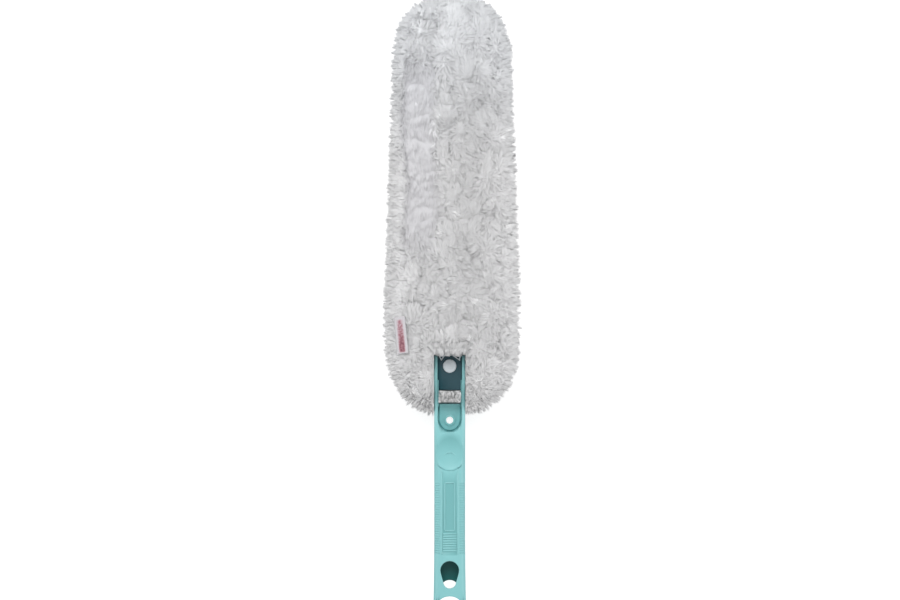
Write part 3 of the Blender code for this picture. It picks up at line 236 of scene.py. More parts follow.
def knit_group() -> bpy.types.NodeTree:
    """Rows of knitted loops on Object coordinates.

    Two sine waves, one across and one along, are multiplied, so each cell holds one rounded
    loop. Height is that product, and Tone is a slow variation round 1.
    """
    graph, start, end = new_group("knitted_rows", {"Pitch": 900.0}, ["Height", "Tone"])
    place = graph.place()
    parts = graph.add("ShaderNodeSeparateXYZ", Vector=place)
    across = graph.math("SINE", graph.math("MULTIPLY", parts.outputs["X"], start["Pitch"]))
    pitch = graph.math("MULTIPLY", start["Pitch"], 1.6)
    along = graph.math("SINE", graph.math("MULTIPLY", parts.outputs["Y"], pitch))
    product = graph.math("MULTIPLY", across, along)
    slow = graph.noise(place, 90.0, 3.0)
    graph.feed(end["Height"], graph.math("ADD", graph.math("MULTIPLY", product, 0.5), 0.5))
    graph.feed(end["Tone"], graph.math("ADD", graph.math("MULTIPLY", slow, 0.16), 0.92))
    return graph.tree


GROUPS: dict[str, bpy.types.NodeTree] = {}


def group(name: str) -> bpy.types.NodeTree:
    """The shared shader group of this name, built the first time it is asked for."""
    makers = {"moulded": moulded_group, "knit": knit_group}
    if name not in GROUPS:
        GROUPS[name] = makers[name]()
    return GROUPS[name]


# Finishes


@dataclass(frozen=True)
class Plastic:
    """Moulded plastic: grain, flow marks, rounded edges painted lighter as wear and as a painted
    highlight, and painted shade in hollows.

    Colours are linear. Edge radius is how far the shading rounds an edge, and sky how far an
    open place has to see. The attribute hollow, from 0 to 1, marks places that see little
    light, where the colour is multiplied by deep as painted shade, and the attribute pale
    marks places with painted light.
    """

    name: str
    colour: Colour
    # edge: the lighter colour for edge wear and for the painted edge highlight
    edge: Colour
    roughness: float
    # deep: the colour that painted shade multiplies into hollows
    deep: Colour = (0.3, 0.3, 0.3)
    edge_radius: float = 0.45 * MM
    grain: float = 0.25
    grain_depth: float = 0.03 * MM
    flow: float = 0.06
    coat: float = 0.0
    sky: float = 7.0 * MM
    shade: float = 0.55
    wear_scale: float = 320.0
    smudge_scale: float = 45.0

    def build(self) -> bpy.types.Material:
        """Makes the material.

        The rounded normal differs from the true one at an edge, and an edge that sees the
        whole sky is a raised one, which is painted lighter, partly as wear and partly as a painted
        highlight. Where little open sky is seen, the colour is darkened as painted shade.

        Returns:
            The material.
        """
        material, graph, shader = new_material(self.name)
        surface = graph.add("ShaderNodeGroup", {"node_tree": group("moulded")}, Flow=self.flow)
        bevel = graph.add("ShaderNodeBevel", {"samples": 6}, Radius=self.edge_radius).outputs[0]
        turn = graph.add("ShaderNodeVectorMath", {"operation": "DOT_PRODUCT"})
        graph.feed(turn.inputs[0], bevel)
        graph.feed(turn.inputs[1], graph.add("ShaderNodeNewGeometry").outputs["Normal"])
        edge = graph.ramp(turn.outputs["Value"], 0.90, 0.995, 1.0, 0.0)
        open_sky = graph.add("ShaderNodeAmbientOcclusion", {"samples": 8, "only_local": True},
                             Distance=self.sky).outputs["AO"]
        place = graph.place()
        wear = graph.ramp(graph.noise(place, self.wear_scale), 0.35, 0.65, 0.45, 1.0)
        # painted highlight on raised edges, mixed with wear noise
        wear_and_highlight = graph.math("MULTIPLY", graph.math("MULTIPLY", edge, wear), graph.ramp(open_sky, 0.72, 0.9))
        # the pale attribute adds painted light on the handle's rails
        wear_and_highlight = graph.math("MAXIMUM", wear_and_highlight, graph.marked("pale"))
        base = graph.tinted(rgba(self.colour), graph.grey(surface.outputs["Tone"]))
        # painted shade: darker where the ambient occlusion sees little open sky, and where hollow marks
        closed = graph.ramp(open_sky, 0.2, 0.95, self.shade, 0.0)
        base = graph.mix(graph.math("MAXIMUM", graph.marked("hollow"), closed), base,
                         graph.tinted(base, rgba(self.deep)))
        smudge = graph.ramp(graph.noise(place, self.smudge_scale, 4.0), 0.3, 0.7, -0.05, 0.05)
        bump = graph.add("ShaderNodeBump", Strength=self.grain, Distance=self.grain_depth,
                         Height=surface.outputs["Grain"], Normal=bevel).outputs[0]
        graph.set(shader, Base_Color=graph.mix(wear_and_highlight, base, rgba(self.edge)), Normal=bump,
                  Roughness=graph.math("ADD", smudge, self.roughness), Coat_Weight=self.coat, IOR=1.49)
        return material


@dataclass(frozen=True)
class Knit:
    """Knitted or woven white cloth, with its loops as bumps."""

    name: str
    colour: Colour
    shade: Colour
    pitch: float = 3600.0
    loop_depth: float = 0.2 * MM

    def build(self) -> bpy.types.Material:
        """Makes the material."""
        material, graph, shader = new_material(self.name)
        knit = graph.add("ShaderNodeGroup", {"node_tree": group("knit")}, Pitch=self.pitch).outputs
        # painted shade: the colour runs darker in the low places between loops
        base = graph.mix(knit["Height"], rgba(self.shade), rgba(self.colour))
        bump = graph.add("ShaderNodeBump", Strength=0.6, Distance=self.loop_depth, Height=knit["Height"])
        graph.set(shader, Base_Color=graph.tinted(base, graph.grey(knit["Tone"])),
                  Normal=bump.outputs[0], Roughness=0.9, Sheen_Weight=0.2)
        return material


@dataclass(frozen=True)
class Plush:
    """Microfibre pile: roots a little darker than the tips, a painted shade, and slow tints over the head.

    The strands carry attributes. Along runs from 0 at the root to 1 at the tip, tone is each
    strand's lightness, partly its own and partly painted shade and highlight, which TONES spans,
    and comb how far it lies in the combed band.
    """

    name: str = "plush_pile"
    tip: Colour = (0.90, 0.90, 0.905)
    root: Colour = (0.885, 0.885, 0.89)
    cool: Colour = (0.94, 0.97, 1.0)
    lilac: Colour = (0.915, 0.91, 0.93)
    light: Span = (0.78, 1.16)
    cool_from: Span = (120 * MM, 290 * MM)

    def build(self) -> bpy.types.Material:
        """Makes the material."""
        material, graph, shader = new_material(self.name)
        base = graph.mix(graph.ramp(graph.marked("along"), 0.1, 0.9), rgba(self.root), rgba(self.tip))
        base = graph.tinted(base, graph.grey(graph.ramp(graph.marked("tone"), *TONES, *self.light)))
        height = graph.add("ShaderNodeSeparateXYZ", Vector=graph.place()).outputs["Y"]
        cool = graph.math("MULTIPLY", graph.ramp(height, *self.cool_from), 0.6)
        for factor, tint in ((cool, self.cool), (graph.marked("comb"), self.lilac)):
            base = graph.mix(factor, base, graph.tinted(base, rgba(tint)))
        graph.set(shader, Base_Color=base, Roughness=0.9, Sheen_Weight=0.1, Sheen_Roughness=0.5,
                  Specular_IOR_Level=0.15)
        return material


@dataclass(frozen=True)
class Wire:
    """Drawn steel wire."""

    name: str = "spring_wire"
    colour: Colour = (0.60, 0.61, 0.62)
    dull: Colour = (0.45, 0.46, 0.48)

    def build(self) -> bpy.types.Material:
        """Makes the material."""
        material, graph, shader = new_material(self.name)
        drawn = graph.noise(graph.place(), 2200.0, 3.0)
        base = graph.mix(graph.ramp(drawn, 0.3, 0.7), rgba(self.colour), rgba(self.dull))
        graph.set(shader, Base_Color=base, Roughness=graph.ramp(drawn, 0.2, 0.8, 0.22, 0.4), Metallic=1.0)
        return material


@dataclass(frozen=True)
class WovenTag:
    """Thin pale woven tape with a mottled red band along its middle, on the tag's own map.

    The mottle is plain noise, dark, red and pale, and stands for no sign. Rows and columns are
    how fast the weave's sine waves run along and across the map.
    """

    name: str = "woven_tag"
    white: Colour = (0.63, 0.615, 0.64)
    pink: Colour = (0.56, 0.40, 0.445)
    red: Colour = (0.38, 0.175, 0.205)
    dark: Colour = (0.24, 0.085, 0.11)
    groove_shade: Colour = (0.3, 0.29, 0.3)
    middle: Span = (0.50, 0.48)
    rows: float = 420.0
    columns: float = 150.0
    thread: float = 0.1 * MM

    def build(self) -> bpy.types.Material:
        """Makes the material.

        Ink is how strong the band is: its soft outline times a share that grows downwards and
        with the mottle. The colour goes from white over pink and red to dark with it.

        Returns:
            The material.
        """
        material, graph, shader = new_material(self.name)
        place = graph.add("ShaderNodeUVMap", {"uv_map": "tape"}).outputs[0]
        parts = graph.add("ShaderNodeSeparateXYZ", Vector=place).outputs
        across, end = (graph.math("ABSOLUTE", graph.math("SUBTRACT", parts[axis], middle))
                       for axis, middle in zip(("X", "Y"), self.middle))
        outline = graph.math("MULTIPLY", graph.ramp(across, 0.12, 0.38, 1.0, 0.0),
                             graph.ramp(end, 0.40, 0.47, 1.0, 0.0))
        mottle = graph.ramp(graph.noise(graph.stretched(place, (5.0, 17.0, 1.0)), 1.0, 3.0), 0.36, 0.62)
        lower = graph.ramp(parts["Y"], 0.15, 0.85, 0.75, 0.30)
        strength = graph.math("ADD", lower, graph.math("MULTIPLY", mottle, 0.4))
        ink = graph.math("MULTIPLY", outline, strength)
        base = rgba(self.white)
        for low, high, colour in ((0.0, 0.4, self.pink), (0.30, 0.75, self.red), (0.75, 1.05, self.dark)):
            base = graph.mix(graph.ramp(ink, low, high), base, rgba(colour))
        waves = [graph.math("SINE", graph.math("MULTIPLY", parts[axis], pitch))
                 for axis, pitch in (("Y", self.rows), ("X", self.columns))]
        weave = graph.math("MULTIPLY", *waves)
        bump = graph.add("ShaderNodeBump", Strength=0.5, Distance=self.thread, Height=weave)
        # painted shade: the weave's low places are darker
        base = graph.mix(graph.ramp(weave, -1.0, 1.0, 0.12, 0.0), base, rgba(self.groove_shade))
        graph.set(shader, Base_Color=base, Normal=bump.outputs[0], Roughness=0.8)
        return material


HANDLE_PLASTIC = Plastic("turquoise_plastic", (0.248, 0.575, 0.590), (0.40, 0.76, 0.77), 0.42,
                         (0.02, 0.31, 0.29), edge_radius=0.8 * MM, shade=0.35)
BLOCK_PLASTIC = Plastic("petrol_plastic", (0.026, 0.086, 0.110), (0.07, 0.16, 0.19), 0.36, flow=0.12)
FRAME_PLASTIC = Plastic("white_plastic", (0.84, 0.90, 0.94), (0.90, 0.94, 0.96), 0.34, coat=0.1,
                        shade=0.15)
BACKING_KNIT = Knit("backing_knit", (0.66, 0.66, 0.67), (0.46, 0.46, 0.48))
BINDING_TAPE = Knit("binding_tape", (0.68, 0.69, 0.71), (0.50, 0.51, 0.54), 5200.0)


# Mesh building


def piece_from(name: str, points: Array, faces: Array,
               material: bpy.types.Material | None = None) -> bpy.types.Object:
    """Makes a smooth mesh object from arrays.

    Args:
        name: the piece's name.
        points: (n, 3) places in metres.
        faces: (m, 3) or (m, 4) corner numbers, turning outwards.
        material: its material, if it is to be seen.

    Returns:
        The new object, at the origin.
    """
    mesh = bpy.data.meshes.new(name)
    count, sides = faces.shape
    mesh.vertices.add(len(points))
    mesh.vertices.foreach_set("co", points.astype(np.float32).ravel())
    mesh.loops.add(count * sides)
    mesh.loops.foreach_set("vertex_index", faces.astype(np.int32).ravel())
    mesh.polygons.add(count)
    mesh.polygons.foreach_set("loop_start", np.arange(0, count * sides, sides, dtype=np.int32))
    mesh.polygons.foreach_set("use_smooth", np.ones(count, dtype=bool))
    mesh.update(calc_edges=True)
    mesh.validate()
    if material:
        mesh.materials.append(material)
    piece = bpy.data.objects.new(name, mesh)
    bpy.context.scene.collection.objects.link(piece)
    return piece


def carved(piece: bpy.types.Object, cutters: list[bpy.types.Object]) -> None:
    """Cuts shapes out of a piece for good, and removes the cutters.

    Args:
        piece: the piece, whose mesh is replaced.
        cutters: closed shapes.
    """
    for cutter in cutters:
        modifier = piece.modifiers.new(cutter.name, "BOOLEAN")
        modifier.operation = "DIFFERENCE"
        modifier.solver = "EXACT"
        modifier.object = cutter
    bpy.context.view_layer.update()
    shaped = piece.evaluated_get(bpy.context.evaluated_depsgraph_get())
    mesh = bpy.data.meshes.new_from_object(shaped)
    mesh.name = piece.name
    piece.modifiers.clear()
    piece.data = mesh
    for cutter in cutters:
        bpy.data.objects.remove(cutter)


def corners(piece: bpy.types.Object) -> Array:
    """The (n, 3) places of a piece's corners."""
    places = np.zeros(len(piece.data.vertices) * 3, np.float32)
    piece.data.vertices.foreach_get("co", places)
    return places.reshape(-1, 3).astype(float)


def attribute(piece: bpy.types.Object, name: str, values: Array) -> None:
    """Stores one number a vertex on a piece."""
    layer = piece.data.attributes.new(name, "FLOAT", "POINT")
    layer.data.foreach_set("value", values.astype(np.float32).ravel())


def refined(node: str, material: bpy.types.Material, body: Body, slot: Slot) -> bpy.types.Object:
    """A hard node's own shape, merged and smooth, with its edges sharp and its flat faces flat.

    Args:
        node: the node that the piece replaces.
        material: its finish.
        body: the body that it rides on.
        slot: its material slot.

    Returns:
        The piece.
    """
    shape = bmesh.new()
    shape.from_mesh(NODES[node].data)
    bmesh.ops.remove_doubles(shape, verts=shape.verts, dist=MERGE)
    mesh = bpy.data.meshes.new(f"{node}_surface")
    shape.to_mesh(mesh)
    shape.free()
    mesh.materials.append(material)
    mesh.shade_smooth()
    mesh.set_sharp_from_angle(angle=SHARP)
    piece = bpy.data.objects.new(f"{node}_surface", mesh)
    bpy.context.scene.collection.objects.link(piece)
    weighted = piece.modifiers.new("flat_faces_stay_flat", "WEIGHTED_NORMAL")
    weighted.keep_sharp = True
    weighted.weight = 80
    settle(piece, body, slot, node)
    return piece


def settle(piece: bpy.types.Object, body: Body, slot: Slot, *nodes: str) -> None:
    """Tells the frame what a piece rides on, and hides the nodes that it stands for."""
    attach(piece, body.value)
    if nodes:
        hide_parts(*nodes)
    LOG.info("%s: %d faces on %s", piece.name, len(piece.data.polygons), body.value)


def dress(node: str, material: bpy.types.Material) -> None:
    """Gives a node that keeps its own shape a finish."""
    mesh = NODES[node].data
    mesh.materials.clear()
    mesh.materials.append(material)
    LOG.info("%s: %d faces, its own shape", node, len(mesh.polygons))


# The head's shape


def dome(share: Array, power: float) -> Array:
    """How a rounded end closes: a superellipse quarter, 0 at share 0 and 1 from share 1 on."""
    return (1.0 - (1.0 - np.clip(share, 0.0, 1.0)) ** power) ** (1.0 / power)


def smooth(value: Array, low: float, high: float) -> Array:
    """A smoothstep from 0 below low to 1 above high."""
    share = np.clip((value - low) / (high - low), 0.0, 1.0)
    return share * share * (3.0 - 2.0 * share)


def band(value: Array, rise: Span, fall: Span) -> Array:
    """A smooth 1 between two slopes, and 0 outside them."""
    return smooth(value, *rise) * (1.0 - smooth(value, *fall))


def eased(pair: Span, share: Array) -> Array:
    """The first number, plus a share of the second."""
    return pair[0] + pair[1] * share


def bowl(offset: Array, reach: float) -> Array:
    """How deep it is beside a round dome: 1 - sqrt(1 - (distance / reach)^2), at most 1."""
    distance = np.linalg.norm(offset, axis=-1) / reach
    return 1.0 - np.sqrt(np.clip(1.0 - distance ** 2, 0.0, 1.0))


def bulged(value: Array, power: float) -> Array:
    """A cosine or sine as it counts on a superellipse: |value|^(2 / power), with its sign."""
    return np.sign(value) * np.abs(value) ** (2.0 / power)


def unit(vectors: Array) -> Array:
    """The vectors at length 1."""
    return vectors / np.maximum(np.linalg.norm(vectors, axis=-1, keepdims=True), 1e-9)


def flattened(vectors: Array, normals: Array) -> Array:
    """The part of each vector that is square to its normal."""
    return vectors - normals * np.sum(vectors * normals, axis=-1, keepdims=True)


@dataclass(frozen=True)
class Wads:
    """The wads that the pile gathers in, on a lattice of rows along and columns round the head.

    A wad takes three steps each way, of which the first lies in its crease. The numbers are
    those of the sleeve's solids, so both have the same wads in the same places.
    """

    rows: int = 17
    around: int = 8
    steps: int = 3
    depth: float = 5.0 * MM
    sway: float = 5.0 * MM
    shifts: tuple[int, ...] = (0, 1, 0, 2, 1)
    top_share: float = 0.30
    crease_share: float = 0.60
    edge_share: float = 0.30
    row_phase: float = math.radians(137.0)
    column_phase: float = math.radians(109.0)
    cross_phase: float = math.radians(40.0)
    bends: int = 3
    crowd: float = 0.3

    @property
    def steps_along(self) -> int:
        """Lattice steps from the skirt's end to the head's tip."""
        return self.rows * self.steps

    @property
    def steps_around(self) -> int:
        """Lattice steps from the right edge over one side to the left edge."""
        return self.around * self.steps

    def shift(self, line: Array) -> Array:
        """The steps that a row of wads is set off sideways."""
        return np.take(self.shifts, line % len(self.shifts))

    def corner(self, row: Array, column: Array) -> Array:
        """The dent at whole steps: depth * top share * own on a wad, and more in a crease.

        Own is a sine of the row's and the wad's numbers, from 0 to 1.
        """
        line = row // self.steps
        place = column + self.shift(line)
        wad = place // self.steps
        phase = self.row_phase * line + self.column_phase * wad + self.cross_phase * line * wad
        own = (1.0 + np.sin(phase)) / 2
        crease = self.crease_share + (1.0 - self.crease_share) * own
        on_wad = (row % self.steps > 0) & (place % self.steps > 0)
        return self.depth * np.where(on_wad, self.top_share * own, crease)

    def swell(self, step: Array, share: Array) -> Array:
        """The share from one step to the next, rounded so that a wad bulges out of its creases.

        It is a sine's quarter where the step leaves a crease, a quarter turned over where it
        runs into one, and a smoothstep on the wad's top.
        """
        turn = share * math.pi / 2
        kind = step % self.steps
        level = smooth(share, 0.0, 1.0)
        return np.select([kind == 0, kind == 1], [np.sin(turn), level], 1.0 - np.cos(turn))

    def dent(self, row: Array, column: Array) -> Array:
        """How deep the pile lies at any row and column, by mixing the four corners round it.

        Args:
            row: rows with fractions.
            column: columns with fractions, from the right edge.

        Returns:
            The dents.
        """
        i = np.minimum(np.floor(row).astype(int), self.steps_along - 1)
        shift = self.shift(i // self.steps)
        j = np.floor(column + shift).astype(int)
        s, plain = self.swell(i, row - i), column + shift - j
        t = self.swell(j, plain)
        left = j - shift

        def across(line: Array) -> Array:
            """Mixes a row's two corners, plainly where the row is a crease."""
            share = np.where(line % self.steps == 0, plain, t)
            return self.corner(line, left) * (1.0 - share) + self.corner(line, left + 1) * share

        return across(i) * (1.0 - s) + across(i + 1) * s


@dataclass(frozen=True)
class HeadShape:
    """The head's outside, which the longest strands reach, and its core, the sleeve's backing.

    Both are stacks of superellipses along the head.
    """

    low: Vector
    high: Vector
    core_low: Vector
    core_high: Vector
    wads: Wads = field(default_factory=Wads)
    top_width: float = 121.0 * MM
    widest: float = 4.0 * MM
    tapered: float = 244.0 * MM
    top_dome: float = 60.0 * MM
    bottom_dome: float = 79.0 * MM
    power: float = 2.3
    bottom_power: float = 2.5
    core_power: float = 4.0
    core_end: float = 8.0 * MM
    paddle_depth: float = 4.7 * MM
    narrows: float = -28.0 * MM
    narrow: float = 14.0 * MM
    lean: float = 2.5 * MM
    sag: float = 3.0 * MM
    rest_fade: float = 8.0 * MM
    samples: int = 600

    @property
    def seam(self) -> float:
        """The height of the seam plane."""
        return PIVOT.z

    def angle(self, column: Array) -> Array:
        """The turn in the section at a column, which lie evenly along the widest section."""
        fine = np.linspace(0.0, math.pi, self.samples)
        x = self.high.x * bulged(np.cos(fine), self.power)
        z = (self.high.z - self.seam) * bulged(np.sin(fine).clip(0.0), self.power)
        length = np.concatenate([[0.0], np.cumsum(np.hypot(np.diff(x), np.diff(z)))])
        return np.interp(column / self.wads.steps_around * length[-1], length, fine)

    def ends(self, y: Array, tip: float) -> Array:
        """How far both ends close the section at y, when both are drawn in by tip."""
        top = dome((self.high.y - tip - y) / (self.top_dome - tip / 2), self.power)
        bottom = dome((y - self.low.y - tip) / (self.bottom_dome - tip / 2), self.bottom_power)
        return top * bottom

    def half_width(self, y: Array, inset: float, tip: float) -> Array:
        """Half the width at y: a straight taper, closed by a dome at each end."""
        share = np.clip((y - self.widest) / (self.tapered - self.widest), 0.0, 1.0)
        width = self.high.x - self.low.x
        half = (width + (self.top_width - width) * share) / 2 - inset
        return half * self.ends(y, tip)

    def outside(self, row: Array, column: Array, side: Array, inset: float, tip: float,
                sink: float) -> tuple[Array, Array]:
        """Places on the outside, drawn in at the edges, at both ends and at both faces.

        y runs with the row, closer at both ends, and sways with the angle. x = half width *
        cos^(2/p), z = depth * sin^(2/p), and the outward way grows with each coordinate's
        power: (cos^(2/p))^(p-1) / half width, and the same with the sine and the depth.

        Args:
            row: rows with fractions.
            column: columns with fractions.
            side: 1 on the front and -1 on the back.
            inset: how far it is drawn in at the head's edges.
            tip: how far it is drawn in at its ends.
            sink: how far it is drawn in at its front and back.

        Returns:
            The places and the outward ways.
        """
        angle, even = self.angle(column), row / self.wads.steps_along
        share = even + self.wads.crowd * ((1.0 - np.cos(math.pi * even)) / 2 - even)
        sway = self.wads.sway * np.sin(math.pi * even) * np.sin(angle)
        sway = sway * np.sin(self.wads.bends * angle + row)
        low, high = self.low.y + tip, self.high.y - tip
        y = low + (high - low) * share + sway
        half = np.maximum(self.half_width(y, inset, tip), LEAST)
        depth = np.where(side > 0, self.high.z - self.seam, self.seam - self.low.z + self.sag) - sink
        depth = np.maximum(depth * self.ends(y, tip), LEAST)
        across, rise = bulged(np.cos(angle), self.power), bulged(np.sin(angle).clip(0.0), self.power)
        slope = self.power - 1.0
        way = np.stack([np.sign(across) * np.abs(across) ** slope / half, np.zeros_like(y),
                        side * rise**slope / depth], axis=-1)
        rest = self.seam - self.low.z - sink
        z = np.where(side > 0, depth * rise, np.minimum(depth * rise, rest))
        x = half * across + self.lean * self.ends(y, 0.0)
        return np.stack([x, y, self.seam + side * z], axis=-1), unit(way)

    def core(self, along: Array, turn: Array, pad: float = 0.0) -> Array:
        """Places on the core, made larger all round by pad, for shares along and turns round."""
        low, high = self.core_low.y - pad, self.core_high.y + pad
        y = low + (high - low) * along
        inset = self.high.y - high
        half = self.half_width(y, inset, inset)
        x = half * bulged(np.cos(turn), self.core_power)
        close = dome(np.minimum(high - y, y - low) / self.core_end, self.power)
        mouth = np.where(np.sin(turn) >= 0.0, self.core_high.z - self.seam, self.seam - self.core_low.z)
        depth = mouth + (self.paddle_depth - mouth) * smooth(y, self.narrows, self.narrow) + pad
        z = depth * close * bulged(np.sin(turn), self.core_power)
        return np.stack([x, y, self.seam + z], axis=-1)

    def front_level(self, x: Array, y: Array) -> Array:
        """How high the outside's front lies at x and y."""
        share = np.clip(np.abs(x) / np.maximum(self.half_width(y, 0.0, 0.0), LEAST), 0.0, 1.0)
        bend = (1.0 - share**self.power) ** (1 / self.power)
        return self.seam + (self.high.z - self.seam) * self.ends(y, 0.0) * bend


def head_shape(skirt: float = 52.5 * MM) -> HeadShape:
    """The head's shape, sized by the plush and backing nodes, with its skirt below the pivot."""
    front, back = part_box("plush_front"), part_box("plush_back")
    low = Vector((front[0].x, PIVOT.y - skirt, back[0].z))
    core_low, core_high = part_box("backing_back")[0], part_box("backing_front")[1]
    return HeadShape(low, front[1], core_low, core_high)


@dataclass(frozen=True)
class Mouth:
    """The opening in the sleeve's front, and the room that the swinging fork needs in it.

    The rails' sizes are those of the room that they take as they swing. The channel is the
    space between them, and the window the handle's hole under the block.
    """

    half: float = 16.4 * MM
    top: float = PIVOT.y + 13.4 * MM
    back: float = PIVOT.z - 12.4 * MM
    rail_half: float = 15.7 * MM
    swept_half: float = 16.1 * MM
    rail_top: float = PIVOT.y + 10.6 * MM
    rail_front: float = PIVOT.z + 10.6 * MM
    channel_half: float = 11.4 * MM
    channel_top: float = PIVOT.y + 6.6 * MM
    apron: float = PIVOT.z + 7.2 * MM
    rail_back: float = PIVOT.z - 10.7 * MM
    window_top: float = PIVOT.y - 28.4 * MM
    window_reach: float = 41.3 * MM
    window_half: float = 6.5 * MM
    window_side: float = 0.3 * MM
    window_low: float = 0.8 * MM
    window_high: float = 0.2 * MM
    cleft_middle: float = 1.5 * MM
    cleft_half: float = 4.8 * MM
    cleft_rise: Span = (-6.0 * MM, -3.0 * MM)
    ear_half: float = 18.0 * MM
    ear_radius: float = 5.0 * MM
    ear_room: float = 0.4 * MM
    overrun: float = 10.0 * MM

    def opened(self, places: Array) -> Array:
        """Which places lie in the opening."""
        within = (np.abs(places[..., 0]) < self.half) & (places[..., 1] < self.top)
        return within & (places[..., 2] > self.back)

    def beside(self, places: Array) -> tuple[Array, Array]:
        """How far places lie from the opening, seen from the front, and the way to it."""
        across = np.maximum(np.abs(places[..., 0]) - self.half, 0.0)
        above = np.maximum(places[..., 1] - self.top, 0.0)
        way = np.stack([-np.sign(places[..., 0]) * across, -above, np.zeros_like(above)], axis=-1)
        return np.hypot(across, above), unit(way)

    def window(self, places: Array) -> Array:
        """Which places lie between the rails, under the block, where the web never swings."""
        x, y, z = places[..., 0], places[..., 1], places[..., 2]
        near = np.hypot(y - PIVOT.y, z - PIVOT.z) < self.window_reach
        return (np.abs(x) < self.channel_half) & (y < self.window_top) & near

    def cleft(self, x: Array, y: Array) -> Array:
        """How far places in the window belong to the dark hollow in its middle."""
        middle = self.window_top - self.window_half
        across = np.exp(-(((x - self.cleft_middle) / self.cleft_half) ** 4))
        return across * smooth(y - middle, *self.cleft_rise)

    def cleared(self, paths: Array) -> Array:
        """Moves strands out of the fork's room.

        Strands rooted in the window are held in it, and strands rooted beside the fork stay
        beside it. Other points leave its room by its nearest side, up, sideways or back.

        Args:
            paths: (n, 3, 3) the strands' points.

        Returns:
            The moved points.
        """
        x, y, z = paths[..., 0], paths[..., 1], paths[..., 2]
        home = self.window(paths[:, :1])
        side, low = self.channel_half - self.window_side, PIVOT.y - self.window_reach + self.window_low
        x = np.where(home, np.clip(x, -side, side), x)
        y = np.where(home, np.clip(y, low, self.window_top - self.window_high), y)
        root = x[:, :1]
        crossing = (np.abs(x) < self.swept_half) | (x * root < 0.0)
        crossing &= (np.abs(root) > self.rail_half) & (y < self.rail_top) & (z > self.rail_back)
        swept = np.where(z > self.rail_front, self.swept_half, self.rail_half)
        x = np.where(crossing, np.copysign(swept, root), x)
        wide = np.abs(x)
        over = (wide < self.channel_half) & (z > self.apron)
        top = np.where(over, self.channel_top, self.rail_top)
        moves = np.stack([self.rail_half - wide, top - y, z - self.rail_back])
        inside = np.all(moves > 0.0, axis=0) & ~self.window(paths) & ~home
        nearest = np.argmin(moves, axis=0)
        x = np.where(inside & (nearest == 0), np.copysign(self.rail_half, x), x)
        y = np.where(inside & (nearest == 1), top, y)
        z = np.where(inside & (nearest == 2), self.rail_back, z)
        ear = (np.hypot(y - PIVOT.y, z - PIVOT.z) < self.ear_radius) & (np.abs(x) < self.ear_half)
        x = np.where(ear, np.copysign(self.ear_half, x), x)
        return np.stack([x, y, z], axis=-1)

    def box(self, low: Vector, high: Vector) -> bpy.types.Object:
        """The opening as a box that cuts the ground of a head between two corners."""
        x = np.array([-self.half, self.half])
        y = np.array([low.y - self.overrun, self.top])
        z = np.array([self.back, high.z + self.overrun])
        return boxed("mouth_cutter", x, y, z)

    def ears(self) -> bpy.types.Object:
        """The room for the heads of the pivot pins, as a box that cuts the pile's ground."""
        both = np.array([-1.0, 1.0])
        reach = (self.ear_radius + self.ear_room) * both
        return boxed("ear_cutter", (self.ear_half + self.ear_room) * both, PIVOT.y + reach, PIVOT.z + reach)


def boxed(name: str, x: Array, y: Array, z: Array) -> bpy.types.Object:
    """A box between two values on each axis, to cut with."""
    points = np.stack(np.meshgrid(x, y, z, indexing="ij"), axis=-1).reshape(-1, 3)
    faces = np.array([(0, 1, 3, 2), (4, 6, 7, 5), (0, 4, 5, 1), (2, 3, 7, 6), (0, 2, 6, 4), (1, 5, 7, 3)])
    return piece_from(name, points, faces)


# The pile


def hashed(cells: Array, salt: int) -> Array:
    """A number from 0 to 1 for each whole-numbered cell, the same every run.

    The three cell numbers are multiplied by large odd numbers, joined, and mixed by shifts.
    """
    whole = cells.astype(np.int64)
    mixed = whole[..., 0] * 73856093 ^ whole[..., 1] * 19349663 ^ whole[..., 2] * 83492791
    mixed = (mixed + salt * 2654435761) & 0xFFFFFFFF
    for _ in range(2):
        mixed = ((mixed ^ (mixed >> 15)) * 2246822519) & 0xFFFFFFFF
        mixed = ((mixed ^ (mixed >> 13)) * 3266489917) & 0xFFFFFFFF
    return (mixed ^ (mixed >> 16)) / 4294967296.0


def nearest_point(places: Array, size: float, salt: int) -> tuple[Array, Array]:
    """Finds the nearest of jittered points, one in each cell of a grid.

    Args:
        places: (n, 3) places.
        size: the cells' size.
        salt: picks the jitter.

    Returns:
        (n, 3) the nearest point, and (n, 3) its cell.
    """
    home = np.floor(places / size)
    best = np.full(len(places), np.inf)
    point, owner = np.zeros_like(places), np.zeros_like(places)
    steps = np.stack(np.meshgrid([-1, 0, 1], [-1, 0, 1], [-1, 0, 1], indexing="ij"), axis=-1)
    for step in steps.reshape(-1, 3):
        cell = home + step
        spot = (cell + np.stack([hashed(cell, salt + k) for k in range(3)], axis=-1)) * size
        distance = np.linalg.norm(spot - places, axis=-1)
        closer = distance < best
        best = np.where(closer, distance, best)
        point[closer], owner[closer] = spot[closer], cell[closer]
    return point, owner


def wander(places: Array, size: float, salt: int) -> Array:
    """Smooth noise from -1 to 1: three crossed sine waves whose phases bend one another."""
    x, y, z = (places[..., k] * (2 * math.pi / size) for k in range(3))
    first = np.sin(x + 1.3 * np.sin(y * 0.7 + salt) + salt * 1.7)
    second = np.sin(y * 1.1 + 1.1 * np.sin(z * 0.9 + salt * 2.1) + salt * 0.6)
    third = np.sin(z * 0.8 + x * 0.6 + 0.9 * np.sin(y * 0.5 + salt * 0.9))
    return (first * second + third) / 2


